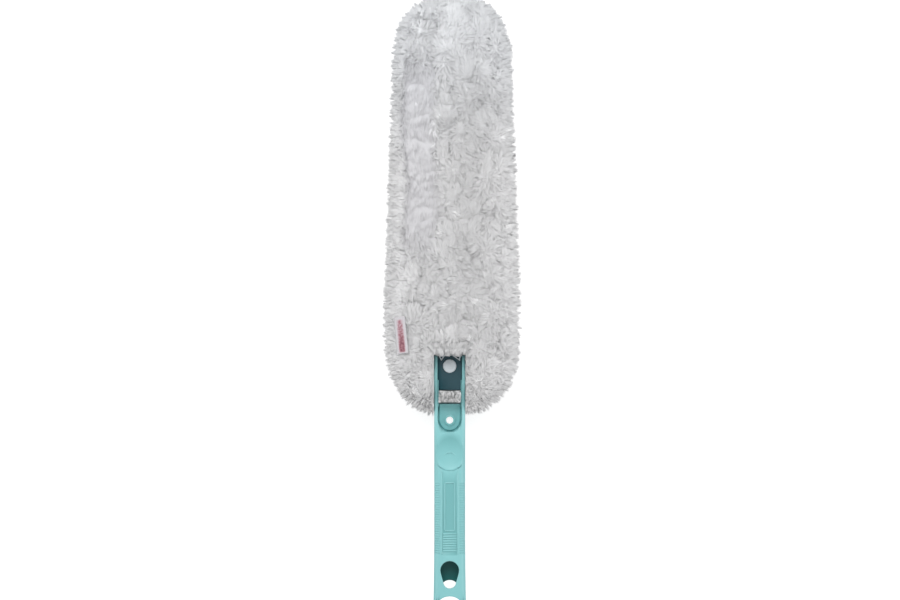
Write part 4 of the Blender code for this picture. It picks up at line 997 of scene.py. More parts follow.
@dataclass
class Field:
    """What is known at places on the pile: arrays of one row a place.

    Ground is the dense pile's surface, normal its outward side, soft the same with the relief
    half evened out, and flow the way that strands lie. Room is how far a strand may stand off
    the ground. Comb and side say how far the place belongs to the combed band and to the
    head's edges.
    """

    ground: Array
    normal: Array
    soft: Array
    flow: Array
    room: Array
    comb: Array
    side: Array

    def at(self, row: Array, column: Array) -> "Field":
        """The field between grid places, by mixing the four corners of a cell.

        Args:
            row: row numbers with fractions.
            column: column numbers with fractions, which wrap round.

        Returns:
            The field at those places.
        """
        i, j = np.floor(row).astype(int), np.floor(column).astype(int)
        k = (j + 1) % self.ground.shape[1]
        s, t = row - i, column - j

        def mixed(values: Array) -> Array:
            """Mixes the four corners' values."""
            u, v = (s[:, None], t[:, None]) if values.ndim == 3 else (s, t)
            first = values[i, j] * (1 - v) + values[i, k] * v
            second = values[i + 1, j] * (1 - v) + values[i + 1, k] * v
            return first * (1 - u) + second * u

        return Field(*(mixed(values) for values in vars(self).values()))


@dataclass(frozen=True)
class Comb:
    """The tall band at the left of the front where the pile is combed flat, with its slopes."""

    left: Span = (-53.0 * MM, -47.0 * MM)
    right: Span = (-22.0 * MM, -8.0 * MM)
    low: Span = (30.0 * MM, 90.0 * MM)
    high: Span = (225.0 * MM, 262.0 * MM)
    sway: float = 3.0 * MM
    wave: float = 24.0 * MM

    def over(self, places: Array) -> Array:
        """How far places belong to the band, seen from the front."""
        x, y = places[..., 0], places[..., 1]
        across = band(x + self.sway * np.sin(y / self.wave), self.left, self.right)
        return across * band(y, self.low, self.high)


@dataclass(frozen=True)
class Tones:
    """The pile's lightness: a slow wander round a mean, with painted shade in the band and the middle.

    Each strand has a little of its own, a few tufts carry a painted highlight, and the cleft in the
    handle's window and the ground under the strands are darker, a painted shade.
    """

    mean: float = 0.55
    swing: float = 0.22
    patch: float = 30.0 * MM
    # painted shade: the combed band and the pile's middle are darker
    combed: float = 0.25
    middle: float = 0.40
    middle_x: float = 8.0 * MM
    middle_half: float = 36.0 * MM
    low: Span = (-75.0 * MM, -35.0 * MM)
    high: Span = (200.0 * MM, 260.0 * MM)
    own: float = 0.03
    # painted highlight: a few tufts are lighter
    bright: float = 0.7
    tufts_without_highlight: float = 0.985
    # painted shade: the window's cleft is darker, and so is the ground under the strands
    cleft: float = 1.2
    ground: float = 0.15

    def at(self, places: Array, comb: Array) -> Array:
        """The lightness at places, and how far they are combed."""
        x, y = places[:, 0], places[:, 1]
        middle = np.exp(-(((x - self.middle_x) / self.middle_half) ** 2)) * band(y, self.low, self.high)
        wandering = self.mean + self.swing * wander(places, self.patch, 2)
        # painted shade in the combed band and the middle
        return wandering - self.combed * comb - self.middle * middle


@dataclass(frozen=True)
class Lie:
    """The way that strands lie: how much each cause weighs in their direction."""

    fan: float = 1.2
    own: float = 0.8
    tipwards: float = 0.15
    edge_wander: float = 0.20
    edge_patch: float = 40.0 * MM
    comb_wander: float = 0.25
    comb_patch: float = 50.0 * MM
    combed: float = 1.2
    lap: float = 8.0 * MM
    lap_way: float = 1.2
    lap_own: float = 0.6


@dataclass(frozen=True)
class Growth:
    """How a strand grows out of the ground.

    A pair holds a weight in the open pile and what the head's edge adds to it. The comb
    numbers are the shares that the combed band takes off, and tuft and own numbers say how
    much tufts and single strands differ.
    """

    rise: Span = (0.52, 0.78)
    follow: Span = (0.75, -0.45)
    tip_rise: Span = (0.12, 1.1)
    tip_follow: Span = (1.1, -0.7)
    tip_loose: float = 1.2
    gather: Span = (0.12, 0.70)
    belly_gather: float = 0.35
    edge_loose: float = 0.35
    comb_loose: float = 0.7
    comb_rise: float = 0.4
    comb_tip: float = 0.6
    tuft_lean: float = 0.22
    own_lean: float = 0.09
    tuft_length: float = 0.16
    own_length: float = 0.08
    lengths: Span = (0.5, 1.4)
    stand: float = 0.72
    tuft_stand: Span = (0.20, 0.14)
    own_stand: float = 0.06
    stands: Span = (0.3, 1.1)
    least_scale: float = 0.30
    tuft_soft: float = 0.07
    over_shift: float = 6.0 * MM
    over_fade: float = 8.0 * MM
    skirt: Span = (-100.0 * MM, -30.0 * MM)
    skirt_upward: float = 0.9


@dataclass(frozen=True)
class Lining:
    """The strands inside the mouth: on its cut walls and floor, and in the handle's window."""

    shape: HeadShape
    mouth: Mouth
    face: float
    seed: int
    count: int = 12_000
    window_count: int = 2_600
    margin: float = 3.0 * MM
    off_wall: float = 0.2 * MM
    under_front: float = 2.5 * MM
    over_core: float = 0.5 * MM
    crowding: float = 0.6
    floor_start: float = 8.0 * MM
    wall_room: float = 3.5 * MM
    room: float = 9.0 * MM
    cleft_room: float = 8.0 * MM
    window_side: float = 1.0 * MM
    window_more: float = 0.5 * MM
    window_depth: float = 6.5 * MM
    cleft_depth: float = 5.5 * MM
    bulge: float = 30.0 * MM
    jitter: float = 0.3

    def sown(self, ground: Array, normal: Array, flow: Array, room: Array,
             random: np.random.Generator) -> Field:
        """Makes a field of places that are neither combed nor at the head's edges."""
        flow = flow + self.jitter * random.normal(0.0, 1.0, ground.shape)
        zero = np.zeros(len(ground))
        return Field(ground, unit(normal), unit(normal), flow, room, zero, zero)

    def walls(self) -> Field:
        """Places on the side walls, the top wall and the floor, a quarter of them on each.

        The side walls and the top wall stand in the front pile, and the floor is the back
        pile's upper face, which stands up in the handle's window.
        """
        random = np.random.default_rng(self.seed + 5)
        count, mouth, shape = self.count, self.mouth, self.shape
        low, skirt, core = shape.low.y, shape.core_low.y, shape.core_high.z
        share = random.uniform(0.0, 1.0, (count, 3))
        kind = np.arange(count) % 4
        side = np.where(kind == 0, -1.0, 1.0)

        def chosen(wall: Array, lintel: Array, floor: Array) -> Array:
            """Picks each place's own row by the kind of wall that it is on."""
            return np.where(kind[:, None] == 3, floor, np.where(kind[:, None] == 2, lintel, wall))

        y = low + self.margin + (mouth.top - low - self.margin) * share[:, 0]
        x = side * (mouth.half + self.off_wall)
        top = shape.front_level(x, y) - self.face - self.under_front
        base = np.where(y < skirt, mouth.back, core + self.over_core)
        z = base + np.maximum(top - base, 0.0) * share[:, 1] ** self.crowding
        across = (share[:, 0] * 2 - 1) * mouth.half
        level = core + (shape.high.z - core - 2 * self.face) * share[:, 1]
        depth = low + self.floor_start + (skirt - low) * share[:, 1]
        ground = chosen(np.stack([x, y, z], axis=-1),
                        np.stack([across, np.full(count, mouth.top), level], axis=-1),
                        np.stack([across, depth, np.full(count, mouth.back)], axis=-1))
        zero = np.zeros(count)
        inwards = np.stack([-side * 0.5, zero, zero + 0.8], axis=-1)
        normal = chosen(inwards, np.array([0.0, -0.6, 0.8]), np.array([0.0, -0.2, 1.0]))
        flow = chosen(np.array([0.0, -0.3, 1.0]), np.array([0.0, 0.1, 1.0]), np.array([0.0, -0.4, 0.1]))
        floor_room = self.room - self.cleft_room * mouth.cleft(across, depth)
        return self.sown(ground, normal, flow, np.where(kind == 3, floor_room, self.wall_room), random)

    def cushion(self) -> Field:
        """Places in the handle's window, where the back pile bulges up, less so in its middle."""
        random = np.random.default_rng(self.seed + 6)
        mouth = self.mouth
        share = random.uniform(-1.0, 1.0, (self.window_count, 2))
        middle = mouth.window_top - mouth.window_half
        x = share[:, 0] * (mouth.channel_half - self.window_side)
        y = middle + share[:, 1] * (mouth.window_half + self.window_more)
        cleft = mouth.cleft(x, y)
        ground = np.stack([x, y, PIVOT.z - (self.window_depth + self.cleft_depth * cleft)], axis=-1)
        zero = np.zeros(self.window_count)
        normal = np.stack([x / self.bulge, (y - middle) / self.bulge - 0.1, zero + 1.0], axis=-1)
        flow = np.stack([share[:, 0] * 0.4, share[:, 1] * 0.3, zero], axis=-1)
        return self.sown(ground, normal, flow, self.room - self.cleft_room * cleft, random)


@dataclass(frozen=True)
class Fringe:
    """The strands that hang from the mouth's top over the apron and the rails' tips.

    They stand at all heights from the apron to the front, and the top ones are rooted a little
    way up the front. Small tufts of them share a length and a lean. A pair holds a number and
    what a tuft's or a strand's own share adds to it.
    """

    shape: HeadShape
    mouth: Mouth
    seed: int
    count: int = 8_000
    side: float = 0.2 * MM
    lift: float = 0.4 * MM
    under_front: float = 2.5 * MM
    back: Span = (0.8 * MM, 6.5 * MM)
    back_rise: Span = (0.75, 0.95)
    tuft: float = 3.4 * MM
    fan: Span = (0.10, 0.35)
    fan_rise: Span = (1.0 * MM, 4.5 * MM)
    root_lift: float = 0.8 * MM
    tip_drop: float = 1.2 * MM
    turn: Span = (2.0, 0.5)
    length: Span = (5.4 * MM, 4.0 * MM)
    own_length: float = 1.6 * MM
    hang: Span = (8.4 * MM, 7.0 * MM)
    hang_less: float = 1.6 * MM
    gather: float = 0.5
    belly: Span = (0.6 * MM, 0.8 * MM)
    lean: Span = (-0.6, 0.5)
    tone: Span = (0.12, 0.30)
    anchor: float = 0.8 * MM
    keep: float = 0.35

    def strands(self) -> tuple[Array, Array, Array]:
        """Works out the strands.

        Returns:
            (n, 3, 3) points from root to tip, (n, 3) shading normals, and (n,) tones.
        """
        random = np.random.default_rng(self.seed + 9)
        mouth, zero = self.mouth, np.zeros(self.count)
        share = random.uniform(0.0, 1.0, (self.count, 5))
        x = (share[:, 0] * 2.0 - 1.0) * (mouth.half - self.side)
        between = np.abs(x) < mouth.channel_half
        apron = np.where(between, mouth.apron, mouth.rail_front) + self.lift
        top = self.shape.front_level(x, zero + mouth.top) - self.under_front
        height = np.sqrt(share[:, 1])
        level = apron + (top - apron) * height
        back = eased(self.back, share[:, 2] ** 2 * smooth(height, *self.back_rise))
        middle, cell = nearest_point(np.stack([x, back, level], axis=-1), self.tuft, 23)
        own = np.stack([hashed(cell, 7 + k) for k in range(4)], axis=-1)
        fanned = x * (1.0 + eased(self.fan, own[:, 1]) * smooth(back, *self.fan_rise))
        root = np.stack([fanned, mouth.top + back, level + self.root_lift], axis=-1)
        turn = (own[:, 0] - 0.5) * self.turn[0] + (share[:, 3] - 0.5) * self.turn[1]
        length = eased(self.length, own[:, 1]) + self.own_length * (share[:, 4] - 0.5)
        lowest = np.where(between, *self.hang) - self.hang_less * own[:, 2]
        aside = x + length * np.sin(turn) + (middle[:, 0] - x) * self.gather
        tip = np.stack([np.clip(aside, -mouth.rail_half, mouth.rail_half),
                        np.maximum(root[:, 1] - length * np.cos(turn), mouth.top - lowest),
                        np.maximum(level - self.tip_drop, apron)], axis=-1)
        belly = (root + tip) / 2 + np.stack([zero, zero, eased(self.belly, own[:, 3])], axis=-1)
        soft = np.stack([own[:, 0] - 0.5, eased(self.lean, own[:, 3] - 0.5), zero + 1.0], axis=-1)
        return np.stack([root, belly, tip], axis=1), unit(soft), eased(self.tone, own[:, 3])

    def squash(self, piece: bpy.types.Object) -> None:
        """Gives the fringe its own copy of its mesh."""
        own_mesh(piece)


@dataclass(frozen=True)
class Pile:
    """The sleeve's pile: a dense ground raised in soft wads, and strands that lie over it.

    The ground is a grid over the head. Each strand is a closed three-sided taper of a root
    ring, a belly ring and a point, lifted off the ground and bent the way the pile flows.
    Strands gather in tufts, whose tips lean together.
    """

    shape: HeadShape
    tag: "TagPlace"
    mouth: Mouth = field(default_factory=Mouth)
    comb: Comb = Comb()
    tones: Tones = Tones()
    lie: Lie = Lie()
    growth: Growth = Growth()
    fine_along: int = 6
    fine_around: int = 5
    closing: tuple[float, ...] = (0.002, 0.01, 0.04, 0.09)
    strands: int = 150_000
    pieces: int = 9
    seed: int = 11
    edge: float = 6.0 * MM
    tip: float = 4.0 * MM
    face: float = 1.8 * MM
    lattice_share: float = 0.55
    warp: float = 1.3
    warp_size: float = 70.0 * MM
    wad: float = 19.0 * MM
    wad_reach: float = 0.80
    wad_height: float = 3.8 * MM
    curl: float = 8.0 * MM
    curl_reach: float = 0.85
    curl_height: float = 1.3 * MM
    tag_dent: float = 1.8 * MM
    tuft: float = 3.8 * MM
    comb_share: float = 0.55
    comb_curl: float = 0.6
    edge_rise: Span = (0.30, 0.72)
    tip_rise: Span = (0.1, 0.5)
    dent_room: float = 0.45
    evened: Span = (1.5, 0.5)
    rooted: float = 1.2 * MM
    spike: float = 1.6 * MM
    length: float = 7.5 * MM
    edge_length: float = 9.0 * MM
    root_radius: float = 0.40 * MM
    belly_radius: float = 0.44 * MM
    belly: float = 0.6
    thick: Span = (0.75, 1.25)
    flatness: float = 0.55
    roll: float = 0.18
    tumble: float = 0.02
    stray: float = 0.6 * MM
    fibre_normal: float = 0.08
    upward: float = 0.75
    floor_gap: float = 0.5 * MM
    skin_gap: float = 0.4 * MM
    skin_rows: int = 82
    skin_columns: int = 48

    def combed(self, places: Array) -> Array:
        """How far the pile is combed flat, which it is on the front only."""
        return self.comb.over(places) * (places[..., 2] > self.shape.seam)

    def survey(self) -> tuple[Field, Array]:
        """Works the ground out on the grid.

        The ground is the outside drawn in, minus the wads' dents along the section's normal,
        minus a little where no curl is. The dents fade towards the head's edges, its ends and
        the flat back.

        Returns:
            The field on the grid, and the outside's places.
        """
        wads, shape = self.shape.wads, self.shape
        rows = np.linspace(0.0, wads.steps_along, wads.steps_along * self.fine_along + 1)[1:-1]
        rows = np.concatenate([self.closing, rows, wads.steps_along - np.array(self.closing[::-1])])
        round_ = np.arange(2 * wads.steps_around * self.fine_around) / self.fine_around
        row, turn = np.meshgrid(rows, round_, indexing="ij")
        side = np.where(turn <= wads.steps_around, 1.0, -1.0)
        column = np.where(side > 0, turn, 2 * wads.steps_around - turn)
        outside, _ = shape.outside(row, column, side, 0.0, 0.0, 0.0)
        ground, way = shape.outside(row, column, side, self.edge, self.tip, self.face)
        comb = self.combed(outside)
        edge = np.sin(shape.angle(column))
        bend = [self.warp * wander(outside, self.warp_size, salt) for salt in (12, 15)]
        dent = wads.dent(np.clip(row + bend[0], 0.0, wads.steps_along),
                         np.clip(column + bend[1], 0.0, wads.steps_around))
        dent *= self.lattice_share * shape.ends(outside[..., 1], 0.0)
        flat = outside.reshape(-1, 3)
        wad, cell = nearest_point(flat, self.wad, 3)
        curl, _ = nearest_point(flat, self.curl, 17)
        between = bowl(flat - wad, self.wad_reach * self.wad).reshape(dent.shape)
        hollow = bowl(flat - curl, self.curl_reach * self.curl).reshape(dent.shape)
        dent += self.wad_height * between
        dent *= wads.edge_share + (1.0 - wads.edge_share) * edge
        dent *= 1.0 - self.comb_share * comb
        lifted = np.clip((ground[..., 2] - shape.low.z - self.face) / shape.rest_fade, 0.0, 1.0)
        lifted = np.where(side > 0, 1.0, lifted)
        dent *= lifted
        dent += self.curl_height * hollow * edge * (1.0 - self.comb_curl * comb) * lifted
        dent = np.where(self.tag.under(outside, 0.0), np.maximum(dent, self.tag_dent), dent)
        ground = ground - way * dent[..., None]
        ground[..., 2] = np.maximum(ground[..., 2], shape.low.z + 2.0 * self.floor_gap)
        normal = self.normals(ground)
        rim = smooth(1.0 - edge, *self.edge_rise)
        wad, cell = wad.reshape(outside.shape), cell.reshape(outside.shape)
        flow = self.flowing(outside, normal, wad, cell, comb, rim)
        room = np.abs(way[..., 0]) * self.edge + np.abs(way[..., 2]) * self.face + self.dent_room * dent
        tips = 1.0 - shape.ends(outside[..., 1], 0.0)
        room += tips * (self.tip - self.face) + self.spike * rim
        rim = np.maximum(rim, smooth(tips, *self.tip_rise))
        soft = unit(normal * self.evened[0] + way * self.evened[1])
        return Field(ground, normal, soft, flow, room, comb, rim), outside

    def normals(self, grid: Array) -> Array:
        """Outward normals of a grid, from the differences of the places beside each place."""
        round_ = np.roll(grid, -1, axis=1) - np.roll(grid, 1, axis=1)
        return unit(np.cross(np.gradient(grid, axis=0), round_))

    def flowing(self, places: Array, normal: Array, wad: Array, cell: Array, comb: Array,
                rim: Array) -> Array:
        """The way that strands lie.

        On a wad they fan out from its middle and share a lean of their own. At the head's edges
        they point outwards, in the band they are combed down, and they lap over the mouth's edge.

        Args:
            places: the outside.
            normal: the ground's normals.
            wad: the middle of each place's wad.
            cell: the wad's cell.
            comb: how far each place is combed.
            rim: how far each place belongs to an edge.

        Returns:
            The directions, square to the normals.
        """
        lie = self.lie
        own = np.stack([hashed(cell, 90 + k) for k in range(3)], axis=-1) * 2.0 - 1.0
        free = (places - wad) / self.wad * lie.fan + own * lie.own + np.array([0.0, lie.tipwards, 0.0])
        outwards = np.zeros_like(places)
        outwards[..., 0] = np.sign(places[..., 0])
        outwards[..., 1] = lie.edge_wander * wander(places, lie.edge_patch, 6)
        down = np.zeros_like(places)
        down[..., 0] = lie.comb_wander * wander(places, lie.comb_patch, 9)
        down[..., 1] = -1.0
        flow = free + (outwards - free) * rim[..., None]
        flow += (down * lie.combed - flow) * comb[..., None]
        distance, way = self.mouth.beside(places)
        lap = (1.0 - smooth(distance, lie.lap / 4, lie.lap)) * (places[..., 2] > self.shape.seam)
        flow += (way * lie.lap_way + own * lie.lap_own - flow) * lap[..., None]
        return flattened(flow, normal)

    def sow(self, surveyed: Field, outside: Array) -> Field:
        """Picks the strands' places, as many for each grid cell as its share of the area."""
        random = np.random.default_rng(self.seed)
        columns = outside.shape[1]
        up = np.diff(outside, axis=0)
        round_ = np.roll(outside, -1, axis=1) - outside
        area = np.linalg.norm(np.cross(up, round_[:-1]), axis=-1)
        chance = (area / area.sum()).ravel()
        picked = random.choice(len(chance), self.strands, p=chance)
        row = picked // columns + random.uniform(0.0, 1.0, self.strands)
        column = picked % columns + random.uniform(0.0, 1.0, self.strands)
        return surveyed.at(row, column)

    def grow(self, places: Field) -> tuple[Array, Array, Array]:
        """Works out every strand's three points.

        A strand leaves the ground along normal + flow, and bends over towards the flow. Small
        tufts of strands share a lean and a length, and their tips are drawn together. A strand
        is shortened where its tip would stand out of the head.

        Args:
            places: where the strands stand.

        Returns:
            (n, 3, 3) points from root to tip, (n, 3) shading normals, and (n,) tones.
        """
        ground, by, count = places.ground, self.growth, len(places.ground)
        random = np.random.default_rng(self.seed + 1)
        spot, cell = nearest_point(ground, self.tuft, 40)
        own = np.stack([hashed(cell, 60 + k) for k in range(4)], axis=-1) * 2.0 - 1.0
        comb, side = places.comb[:, None], places.side[:, None]
        loose = (1.0 - by.comb_loose * comb) * (1.0 - by.edge_loose * side)
        jitter = (own[:, :3] * by.tuft_lean + random.normal(0.0, by.own_lean, (count, 3))) * loose
        rise = eased(by.rise, side) * (1.0 - by.comb_rise * comb)
        first = unit(places.normal * rise + places.flow * eased(by.follow, side) + jitter)
        second = unit(places.normal * eased(by.tip_rise, side) * (1.0 - by.comb_tip * comb)
                      + places.flow * eased(by.tip_follow, side) + jitter * by.tip_loose)
        length = self.length + (self.edge_length - self.length) * places.side
        length = length * (1.0 + by.tuft_length * own[:, 3] + random.normal(0.0, by.own_length, count))
        length = np.clip(length, *(self.length * limit for limit in by.lengths))[:, None]
        root = ground - places.normal * self.rooted
        gather = flattened(spot - ground, places.normal) * eased(by.gather, side)
        gather *= 1.0 - by.comb_tip * comb
        belly = root + first * length * 0.5 + gather * by.belly_gather
        tip = root + first * length * 0.5 + second * length * 0.5 + gather
        height = np.sum((tip - ground) * places.normal, axis=-1)
        share = by.stand + eased(by.tuft_stand, places.side) * own[:, 3]
        share = np.clip(share + random.normal(0.0, by.own_stand, count), *by.stands)
        allowed = places.room * share + self.stray * random.uniform(0.0, 1.0, count) * (1.0 - places.side)
        scale = np.clip(allowed / np.maximum(height, LEAST), by.least_scale, 1.0)[:, None]
        paths = np.stack([root, root + (belly - root) * scale, root + (tip - root) * scale], axis=1)
        tone = self.tones.at(ground, places.comb) + random.normal(0.0, self.tones.own, count)
        # painted highlight on a few tufts
        tone += self.tones.bright * (hashed(cell, 71) > self.tones.tufts_without_highlight)
        # painted shade in the window's cleft
        tone -= self.tones.cleft * self.mouth.cleft(ground[:, 0], ground[:, 1]) * self.mouth.window(ground)
        over = np.tanh((ground[:, 2] - self.shape.seam + by.over_shift) / by.over_fade)
        soft = places.soft + by.tuft_soft * own[:, :3] * loose
        low_end = 1.0 - smooth(ground[:, 1], *by.skirt)
        soft[:, 2] += (self.upward * places.side + by.skirt_upward * low_end) * over
        return paths, unit(soft), np.clip(tone, *TONES)

    def kept(self, paths: Array) -> Array:
        """Which strands stay.

        They are those rooted outside the mouth or in the handle's window, and clear of the tag.
        """
        rooted_free = ~self.mouth.opened(paths[:, 0]) | self.mouth.window(paths[:, 0])
        return rooted_free & ~self.tag.over(paths[:, 2]) & ~self.tag.over(paths[:, 1])

    def bounded(self, paths: Array) -> Array:
        """Holds strands out of the fork's room and above the surface that the head lies on."""
        paths = self.mouth.cleared(paths)
        paths[..., 2] = np.maximum(paths[..., 2], self.shape.low.z + self.floor_gap)
        return paths

    def mesh(self, name: str, paths: Array, soft: Array, tone: Array, comb: Array,
             material: bpy.types.Material) -> bpy.types.Object:
        """Builds one piece of the pile.

        Ring points are the path's points plus radius * (cos a * u + flatness * sin a * v), where
        u and v are square to the strand, v leans outwards, and a is a third of a turn apart, so
        that each strand turns a flat side outwards. The shading normals are the wad's own with a
        small share of the ring's, so that a wad is lit as one soft body.

        Args:
            name: the piece's name.
            paths: its strands' points.
            soft: its strands' shading normals.
            tone: its strands' tones.
            comb: how far its strands are combed.
            material: the pile's finish.

        Returns:
            The piece.
        """
        count = len(paths)
        random = np.random.default_rng(self.seed + 2)
        way = unit(paths[:, 2] - paths[:, 0])
        v = unit(flattened(soft + self.tumble * random.normal(0.0, 1.0, (count, 3)), way))
        u = np.cross(v, way)
        angles = (np.arange(3) + 0.25) * (2 * math.pi / 3) + random.normal(0.0, self.roll, (count, 1))
        ring = (np.cos(angles)[..., None] * u[:, None]
                + self.flatness * np.sin(angles)[..., None] * v[:, None])
        thick = random.uniform(*self.thick, (count, 1, 1))
        roots = paths[:, 0:1] + ring * self.root_radius * thick
        bellies = paths[:, 1:2] + ring * self.belly_radius * thick
        points = np.concatenate([roots, bellies, paths[:, 2:3]], axis=1)
        pattern = np.array([(0, 2, 1), (0, 1, 4), (0, 4, 3), (1, 2, 5), (1, 5, 4), (2, 0, 3), (2, 3, 5),
                            (3, 4, 6), (4, 5, 6), (5, 3, 6)])
        faces = (pattern[None] + np.arange(count)[:, None, None] * 7).reshape(-1, 3)
        piece = piece_from(name, points.reshape(-1, 3), faces, material)
        along = np.repeat([0.0, self.belly, 1.0], [3, 3, 1])
        attribute(piece, "along", np.broadcast_to(along, (count, 7)))
        attribute(piece, "tone", np.repeat(tone, 7))
        attribute(piece, "comb", np.repeat(comb, 7))
        self.unfold(piece, count)
        level = np.repeat(soft[:, None], 7, axis=1)
        level[:, 0:3] += ring * self.fibre_normal
        level[:, 3:6] += ring * self.fibre_normal
        piece.data.normals_split_custom_set_from_vertices(unit(level).reshape(-1, 3))
        return piece

    def unfold(self, piece: bpy.types.Object, count: int, end: float = 0.1, margin: float = 0.05) -> None:
        """Lays each strand in its own cell of a square map, sides beside one another.

        A corner's place in the cell is (side share, share along the strand), and the root's end
        face lies below the sides.

        Args:
            piece: the strands.
            count: how many they are.
            end: the share of the cell's height that the end face takes.
            margin: the share of the cell that stays free on each side.
        """
        cell = 1.0 / math.ceil(math.sqrt(count))
        sides = [((0.0, 0.0), (0.9, 0.0), (0.45, 0.09))]
        for k in range(3):
            left, right = k / 3, (k + 1) / 3
            sides += [((left, end), (right, end), (right, self.belly)),
                      ((left, end), (right, self.belly), (left, self.belly))]
        sides += [((k / 3, self.belly), ((k + 1) / 3, self.belly), ((k + 0.5) / 3, 1.0)) for k in range(3)]
        place = np.array(sides)[None] * cell * (1.0 - 2 * margin)
        number = np.arange(count)
        across = math.ceil(math.sqrt(count))
        corner = np.stack([number % across, number // across], axis=-1) * cell + cell * margin
        layer = piece.data.uv_layers.new(name="OFBake")
        layer.data.foreach_set("uv", (place + corner[:, None, None]).astype(np.float32).ravel())

    def build(self, material: bpy.types.Material) -> None:
        """Builds the ground, the strands in pieces from skirt to tip, and the fringe.

        Args:
            material: the pile's finish.
        """
        surveyed, outside = self.survey()
        self.ground(surveyed, material)
        lining = Lining(self.shape, self.mouth, self.face, self.seed)
        made = [self.sow(surveyed, outside), lining.walls(), lining.cushion()]
        grown = [self.grow(places) for places in made]
        paths, soft, tone = (np.concatenate([part[k] for part in grown]) for k in range(3))
        comb = np.concatenate([places.comb for places in made])
        keep = self.kept(paths)
        paths, soft, tone, comb = self.bounded(paths[keep]), soft[keep], tone[keep], comb[keep]
        order = np.argsort(paths[:, 0, 1], kind="stable")
        for i, part in enumerate(np.array_split(order, self.pieces)):
            piece = self.mesh(f"pile_{i + 1}", paths[part], soft[part], tone[part], comb[part], material)
            settle(piece, Body.HEAD, Slot.PLUSH)
        fringe = Fringe(self.shape, self.mouth, self.seed)
        paths, soft, tone = fringe.strands()
        piece = self.mesh("mouth_fringe", paths, soft, tone, np.zeros(len(paths)), material)
        settle(piece, Body.HEAD, Slot.PLUSH)
        fringe.squash(piece)

    def closed_grid(self, places: Array) -> tuple[Array, Array]:
        """Points and triangles of a grid that wraps round, closed by a point at each end."""
        rows, columns = places.shape[:2]
        points = np.concatenate([places.reshape(-1, 3), [places[0].mean(axis=0)], [places[-1].mean(axis=0)]])
        i = np.arange(rows - 1)[:, None] * columns
        j = np.arange(columns)[None]
        k = (j + 1) % columns
        quads = np.stack([i + j, i + k, i + columns + k, i + columns + j], axis=-1).reshape(-1, 4)
        first, last, top = rows * columns, rows * columns + 1, (rows - 1) * columns
        j, k = j.ravel(), k.ravel()
        ends = [np.stack([np.full(columns, first), k, j], axis=-1),
                np.stack([top + j, top + k, np.full(columns, last)], axis=-1)]
        return points, np.concatenate([quads[:, [0, 1, 2]], quads[:, [0, 2, 3]], *ends])

    def ground(self, surveyed: Field, material: bpy.types.Material) -> None:
        """Builds the dense ground as a hollow skin with the mouth cut in its front.

        Args:
            surveyed: the field on the grid.
            material: the pile's finish.
        """
        piece = piece_from("pile_ground", *self.closed_grid(surveyed.ground), material)
        turn = np.arange(self.skin_columns) * (2 * math.pi / self.skin_columns)
        along = (1.0 - np.cos(np.linspace(0.0, math.pi, self.skin_rows)[1:-1])) / 2
        inside = self.shape.core(*np.meshgrid(along, turn, indexing="ij"), pad=self.skin_gap)
        cutters = [piece_from("pocket_cutter", *self.closed_grid(inside)),
                   self.mouth.box(self.shape.low, self.shape.high), self.mouth.ears()]
        carved(piece, cutters)
        places = corners(piece)
        comb = self.combed(places)
        attribute(piece, "along", np.zeros(len(places)))
        # painted shade: the ground under the strands is darker
        attribute(piece, "tone", self.tones.at(places, comb) - self.tones.ground)
        attribute(piece, "comb", comb)
        settle(piece, Body.HEAD, Slot.PLUSH, "plush_front", "plush_back")


# The tag


@dataclass(frozen=True)
class TagPlace:
    """Where the tag's node lies: its middle, its directions and its spans."""

    centre: Array
    wide: Array
    long: Array
    up: Array
    spans: Array
    hem: float = 0.7 * MM

    def local(self, places: Array) -> tuple[Array, Array, Array]:
        """Places as distances across, along and above the tag's middle."""
        offset = places - self.centre
        return offset @ self.wide, offset @ self.long, offset @ self.up

    def under(self, places: Array, margin: float) -> Array:
        """Which places lie within the tag's outline, seen square to it, grown by a margin."""
        across, along, above = self.local(places)
        within = (np.abs(across) < self.spans[0] / 2 + margin) & (np.abs(along) < self.spans[1] / 2 + margin)
        return within & (np.abs(above) < self.spans[1])

    def over(self, places: Array) -> Array:
        """Which places would poke through the tag or stand over it."""
        return self.under(places, -self.hem) & (self.local(places)[2] > -self.spans[2])


def tag_place() -> TagPlace:
    """Reads the tag's place from its node, by the main directions of its corners."""
    places = np.unique(corners(NODES["sleeve_tag"]).round(6), axis=0)
    centre = places.mean(axis=0)
    _, _, (long, wide, up) = np.linalg.svd(places - centre, full_matrices=False)
    long = long if long[1] > 0 else -long
    up = up if up[2] > 0 else -up
    wide = np.cross(long, up)
    spans = np.array([np.ptp((places - centre) @ axis) for axis in (wide, long, up)])
    return TagPlace(centre, wide, long, up, spans)


